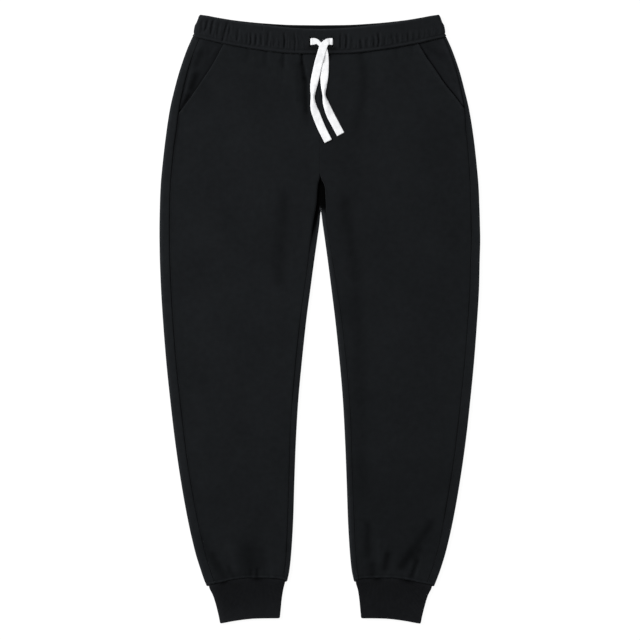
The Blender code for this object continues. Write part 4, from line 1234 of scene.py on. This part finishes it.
# %% Pocket topstitching, bartacks and buttonholes
HEM_INSET = 8.6             # from the mouth in to the row of topstitching
BARTACK_ROWS, BARTACK_HEIGHT = 12, 3.2
BARTACK_ENDS = np.array([1.5, 7.5])
SLOT_STITCHES = 46
SATIN, SATIN_THREAD = 2.1, 0.3                 # length and radius of a buttonhole's stitches


def pocket_point(side, y, inward):
    """A point on the pocket's hem, a distance inward from the mouth."""
    x = mouth_x(side, y) - inward
    hem = ease(1 - inward / POCKET_HEM) * ease((y - side.mouth_low[1]) / 6)
    return np.stack([side.sign * x, y, lay_height(side, x, y) + POCKET_LIFT * hem], axis=-1)


def pocket_stitches(side):
    (_, top), (_, low) = side.mouth_top, side.mouth_low
    hem_line = pocket_point(side, np.linspace(top - 3, low + 2, 60), HEM_INSET)
    rows = [stitches_along(hem_line, PITCH + 0.1, STITCH + 0.1)]
    for step in np.linspace(0, 1, BARTACK_ROWS):
        bar = pocket_point(side, np.full(2, low + 1 + BARTACK_HEIGHT * step), BARTACK_ENDS)
        rows.append((bar[:1], bar[1:]))
    return stitch_mesh("pocket_topstitch_" + side.name, *map(np.vstack, zip(*rows)), UP, THREAD)


def buttonhole_stitches():
    starts, ends = [], []
    for side in SIDES:
        for turn in np.arange(SLOT_STITCHES) / SLOT_STITCHES * 2 * math.pi:
            out_x, out_y = math.cos(turn), math.sin(turn)
            x = side.sign * side.slot_x + out_x * SLOT_WIDTH / 2
            y = SLOT_MIDDLE + out_y * SLOT_LENGTH / 2
            starts.append((x, y, 2 * BAND_RADIUS - 0.1))
            ends.append((x + SATIN * out_x, y + SATIN * out_y, 2 * BAND_RADIUS))
    return stitch_mesh("buttonhole_stitches", starts, ends, UP, SATIN_THREAD)


pocket_threads = both(pocket_stitches)
hole_threads = buttonhole_stitches()

# %% [markdown]
# ## Materials
#
# Black cloth isn't flat black. Brushed fleece has a knitted face whose tiny V stitches
# can just be seen close up. Over it stands a haze of loose fibre, which catches light,
# and the dye is never quite even. Each of those effects is a node group, built once and
# used by several materials with their own sizes. The groups give only heights and
# shades; the Principled shader stays in each material.


# %% Helpers for node trees
def add_node(tree, kind, **options):
    node = tree.nodes.new(kind)
    for name, value in options.items():
        setattr(node, name, value)
    return node


def plug(value, socket):
    """Joins an output to a socket, or sets the socket to a plain value."""
    if isinstance(value, bpy.types.NodeSocket):
        socket.id_data.links.new(value, socket)
    else:
        socket.default_value = value


def calc(operation, *values):
    """One Math node on outputs or numbers."""
    tree = next(value.id_data for value in values if isinstance(value, bpy.types.NodeSocket))
    node = add_node(tree, "ShaderNodeMath", operation=operation)
    for socket, value in zip(node.inputs, values):
        plug(value, socket)
    return node.outputs[0]


def parts_of(place):
    """The X and Y of a place."""
    parts = add_node(place.id_data, "ShaderNodeSeparateXYZ")
    plug(place, parts.inputs[0])
    return parts.outputs[:2]


def bead(share, power):
    """A rounded height that starts again with each whole number."""
    return calc("POWER", calc("SINE", calc("MULTIPLY", share, math.pi)), power)


def colour_and_bump(shader, colour, shade, height, strength, distance):
    """Colour times shade into the base colour, and a bump from a height."""
    tree = shader.id_data
    tinted = add_node(tree, "ShaderNodeVectorMath", operation="SCALE")
    plug(colour, tinted.inputs[0])
    plug(shade, tinted.inputs["Scale"])
    plug(tinted.outputs[0], shader.inputs["Base Color"])
    bump = add_node(tree, "ShaderNodeBump")
    set_inputs(bump, Strength=strength, Distance=distance)
    plug(height, bump.inputs["Height"])
    plug(bump.outputs[0], shader.inputs["Normal"])


def new_group(name, sizes, outputs):
    """A node group with a Place input, named sizes in metres, and number outputs."""
    tree = bpy.data.node_groups.new(name, "ShaderNodeTree")
    socket = tree.interface.new_socket
    socket("Place", in_out="INPUT", socket_type="NodeSocketVector")
    for size_name, value in sizes.items():
        socket(size_name, in_out="INPUT", socket_type="NodeSocketFloat").default_value = value
    for output in outputs:
        socket(output, in_out="OUTPUT", socket_type="NodeSocketFloat")
    return tree, add_node(tree, "NodeGroupInput").outputs, add_node(tree, "NodeGroupOutput").inputs


def noise(place, scale, detail, stretch=(1, 1, 1)):
    """Smooth noise from 0 to 1; scale is in swells to the metre."""
    scaled = add_node(place.id_data, "ShaderNodeVectorMath", operation="MULTIPLY")
    plug(place, scaled.inputs[0])
    plug(stretch, scaled.inputs[1])
    node = add_node(place.id_data, "ShaderNodeTexNoise")
    plug(scaled.outputs[0], node.inputs["Vector"])
    plug(scale, node.inputs["Scale"])
    plug(detail, node.inputs["Detail"])
    return node.outputs["Fac"]


# %% Knitted face, fibre haze and woven tape
FACE = {"Wale": 0.00085, "Course": 0.00065}
RIB_FACE = {"Wale": 0.0006, "Course": 0.0006}
TAPE_WEAVE = {"Yarn": 0.0007, "Chevron": 0.0032}


def knit_face():
    """Columns of V stitches: each cell's two legs meet at its middle."""
    tree, given, out = new_group("knit_face", FACE, ("Height", "Shade"))
    x, y = parts_of(given["Place"])
    across = calc("FRACT", calc("DIVIDE", x, given["Wale"]))
    leg = calc("MULTIPLY", calc("ABSOLUTE", calc("SUBTRACT", across, 0.5)), 2)
    along = calc("DIVIDE", y, given["Course"])
    loop = calc("FRACT", calc("ADD", along, calc("MULTIPLY", leg, 0.55)))
    height = calc("MULTIPLY", bead(leg, 0.6), bead(loop, 0.7))
    plug(height, out["Height"])
    plug(calc("MULTIPLY_ADD", height, 0.3, 0.82), out["Shade"])
    return tree


def fibre_haze():
    """Short loose fibres, and the slow unevenness of dye and nap."""
    tree, given, out = new_group("fibre_haze", {"Fibre": 0.0006}, ("Height", "Shade", "Mottle"))
    place, swells = given["Place"], calc("DIVIDE", 1, given["Fibre"])
    fine, crossed = noise(place, swells, 3, (1, 0.45, 1)), noise(place, swells, 2, (0.5, 1.2, 1))
    mean = calc("MULTIPLY", calc("ADD", fine, crossed), 0.5)
    plug(mean, out["Height"])
    plug(calc("MULTIPLY_ADD", mean, 0.5, 0.75), out["Shade"])
    patches = calc("ADD", noise(place, 12, 3), noise(place, 110, 3))
    plug(calc("MULTIPLY_ADD", patches, 0.42, 0.58), out["Mottle"])
    return tree


def herringbone():
    """Yarns of a flat woven tape, slanting one way and then the other across it."""
    tree, given, out = new_group("herringbone", TAPE_WEAVE, ("Height", "Shade"))
    x, y = parts_of(given["Place"])
    cell = calc("FRACT", calc("DIVIDE", x, given["Chevron"]))
    slant = calc("MULTIPLY", calc("ABSOLUTE", calc("SUBTRACT", cell, 0.5)),
                 calc("DIVIDE", given["Chevron"], given["Yarn"]))
    along = calc("ADD", calc("DIVIDE", y, given["Yarn"]), slant)
    height = bead(calc("FRACT", along), 0.5)
    plug(height, out["Height"])
    plug(calc("MULTIPLY_ADD", height, 0.10, 0.92), out["Shade"])
    return tree


KNIT, HAZE, WEAVE = knit_face(), fibre_haze(), herringbone()
print("node groups:", [tree.name for tree in (KNIT, HAZE, WEAVE)])

# %% [markdown]
# Every cloth is the same short recipe: a weave, a haze of fibre over it, and the painted
# shading (painted shade and painted highlight) that each mesh carries, all multiplied into
# the colour. The heights of weave and haze go into one Bump node. What differs is a row in
# a table.

# %% One recipe for every cloth
Finish = namedtuple("Finish", "colour weave sizes relief fibre roughness specular sheen sheen_roughness")


def cloth_material(name, finish):
    material, tree, shader = new_material(name)
    weave = add_node(tree, "ShaderNodeGroup", node_tree=finish.weave)
    haze = add_node(tree, "ShaderNodeGroup", node_tree=HAZE)
    set_inputs(weave, **finish.sizes)
    set_inputs(haze, Fibre=finish.fibre)
    plug(add_node(tree, "ShaderNodeUVMap", uv_map="cloth").outputs[0], weave.inputs["Place"])
    plug(add_node(tree, "ShaderNodeTexCoord").outputs["Object"], haze.inputs["Place"])
    # the mesh's painted shading (painted shade in hollows, painted highlight on rims) scales the colour
    painted_shading = add_node(tree, "ShaderNodeAttribute", attribute_name="painted_shading").outputs["Fac"]
    shade = calc("MULTIPLY", calc("MULTIPLY", weave.outputs["Shade"], painted_shading),
                 calc("MULTIPLY", haze.outputs["Shade"], haze.outputs["Mottle"]))
    height = calc("MULTIPLY_ADD", haze.outputs["Height"], 0.8, weave.outputs["Height"])
    colour_and_bump(shader, finish.colour, shade, height, 0.55, finish.relief)
    set_inputs(shader, Roughness=finish.roughness, Specular_IOR_Level=finish.specular,
               Sheen_Weight=finish.sheen, Sheen_Roughness=finish.sheen_roughness,
               Sheen_Tint=(0.92, 0.97, 1, 1))
    return material


FLEECE = (KNIT, FACE, 0.00022, 0.0006, 0.92, 0.03)
FINISHES = {
    "fleece": Finish((0.0095, 0.01062, 0.0118), *FLEECE, 0.08, 0.30),
    "facing": Finish((0.0086, 0.0095, 0.0107), *FLEECE, 0.06, 0.30),
    "waistband": Finish((0.0101, 0.0111, 0.0124), *FLEECE, 0.08, 0.30),
    "rib_knit": Finish((0.0118, 0.0126, 0.0142), KNIT, RIB_FACE, 0.00020, 0.0005, 0.92, 0.03, 0.03, 0.35),
    "drawstring": Finish((0.86, 0.865, 0.88), WEAVE, TAPE_WEAVE, 0.00012, 0.0005, 0.80, 0.20, 0.05, 0.40),
}
materials = {name: cloth_material(name, finish) for name, finish in FINISHES.items()}


# %% Sewing thread
def thread_material():
    """Spun thread: a fine twist along it, and a little more shine than the cloth."""
    material, tree, shader = new_material("thread")
    twist = add_node(tree, "ShaderNodeTexWave", bands_direction="DIAGONAL")
    plug(add_node(tree, "ShaderNodeTexCoord").outputs["Object"], twist.inputs["Vector"])
    set_inputs(twist, Scale=900, Distortion=1.5)
    turn = twist.outputs["Fac"]
    colour_and_bump(shader, (0.0095, 0.0105, 0.0115), calc("MULTIPLY_ADD", turn, 0.5, 0.7), turn,
                    0.4, 0.00008)
    set_inputs(shader, Roughness=0.8, Specular_IOR_Level=0.1)
    return material


materials["thread"] = thread_material()
print("materials:", sorted(materials))

# %% [markdown]
# ## Attaching every piece
#
# Each cloth piece hides the CAD node it stands for and is attached to the body it rides
# on. The garment has no joints, so that is always the one body called root.

# %% Which piece stands for which node
STAND_FOR = [(band, "waistband", "waistband", ["waistband"])]
for side in SIDES:
    name = side.name
    STAND_FOR += [
        (fronts[name], "fleece", "fleece", ["front_" + name]),
        (backs[name], "fleece", "fleece", ["back_" + name]),
        (facings[name], "facing", "fleece", ["pocket_facing_" + name]),
        (cuffs[name], "rib_knit", "rib_knit", ["cuff_" + name]),
        (tapes[name][0], "drawstring", "drawstring", ["drawstring_" + name]),
        (pocket_threads[name], "thread", "fleece", []),
    ]
STAND_FOR += [(band_stitches, "thread", "waistband", []), (hole_threads, "thread", "waistband", [])]
for piece, material, slot, nodes in STAND_FOR:
    piece.data.materials.append(materials[material])
    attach(piece, "root")
    if nodes:
        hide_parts(*nodes)
print("pieces:", len(STAND_FOR))
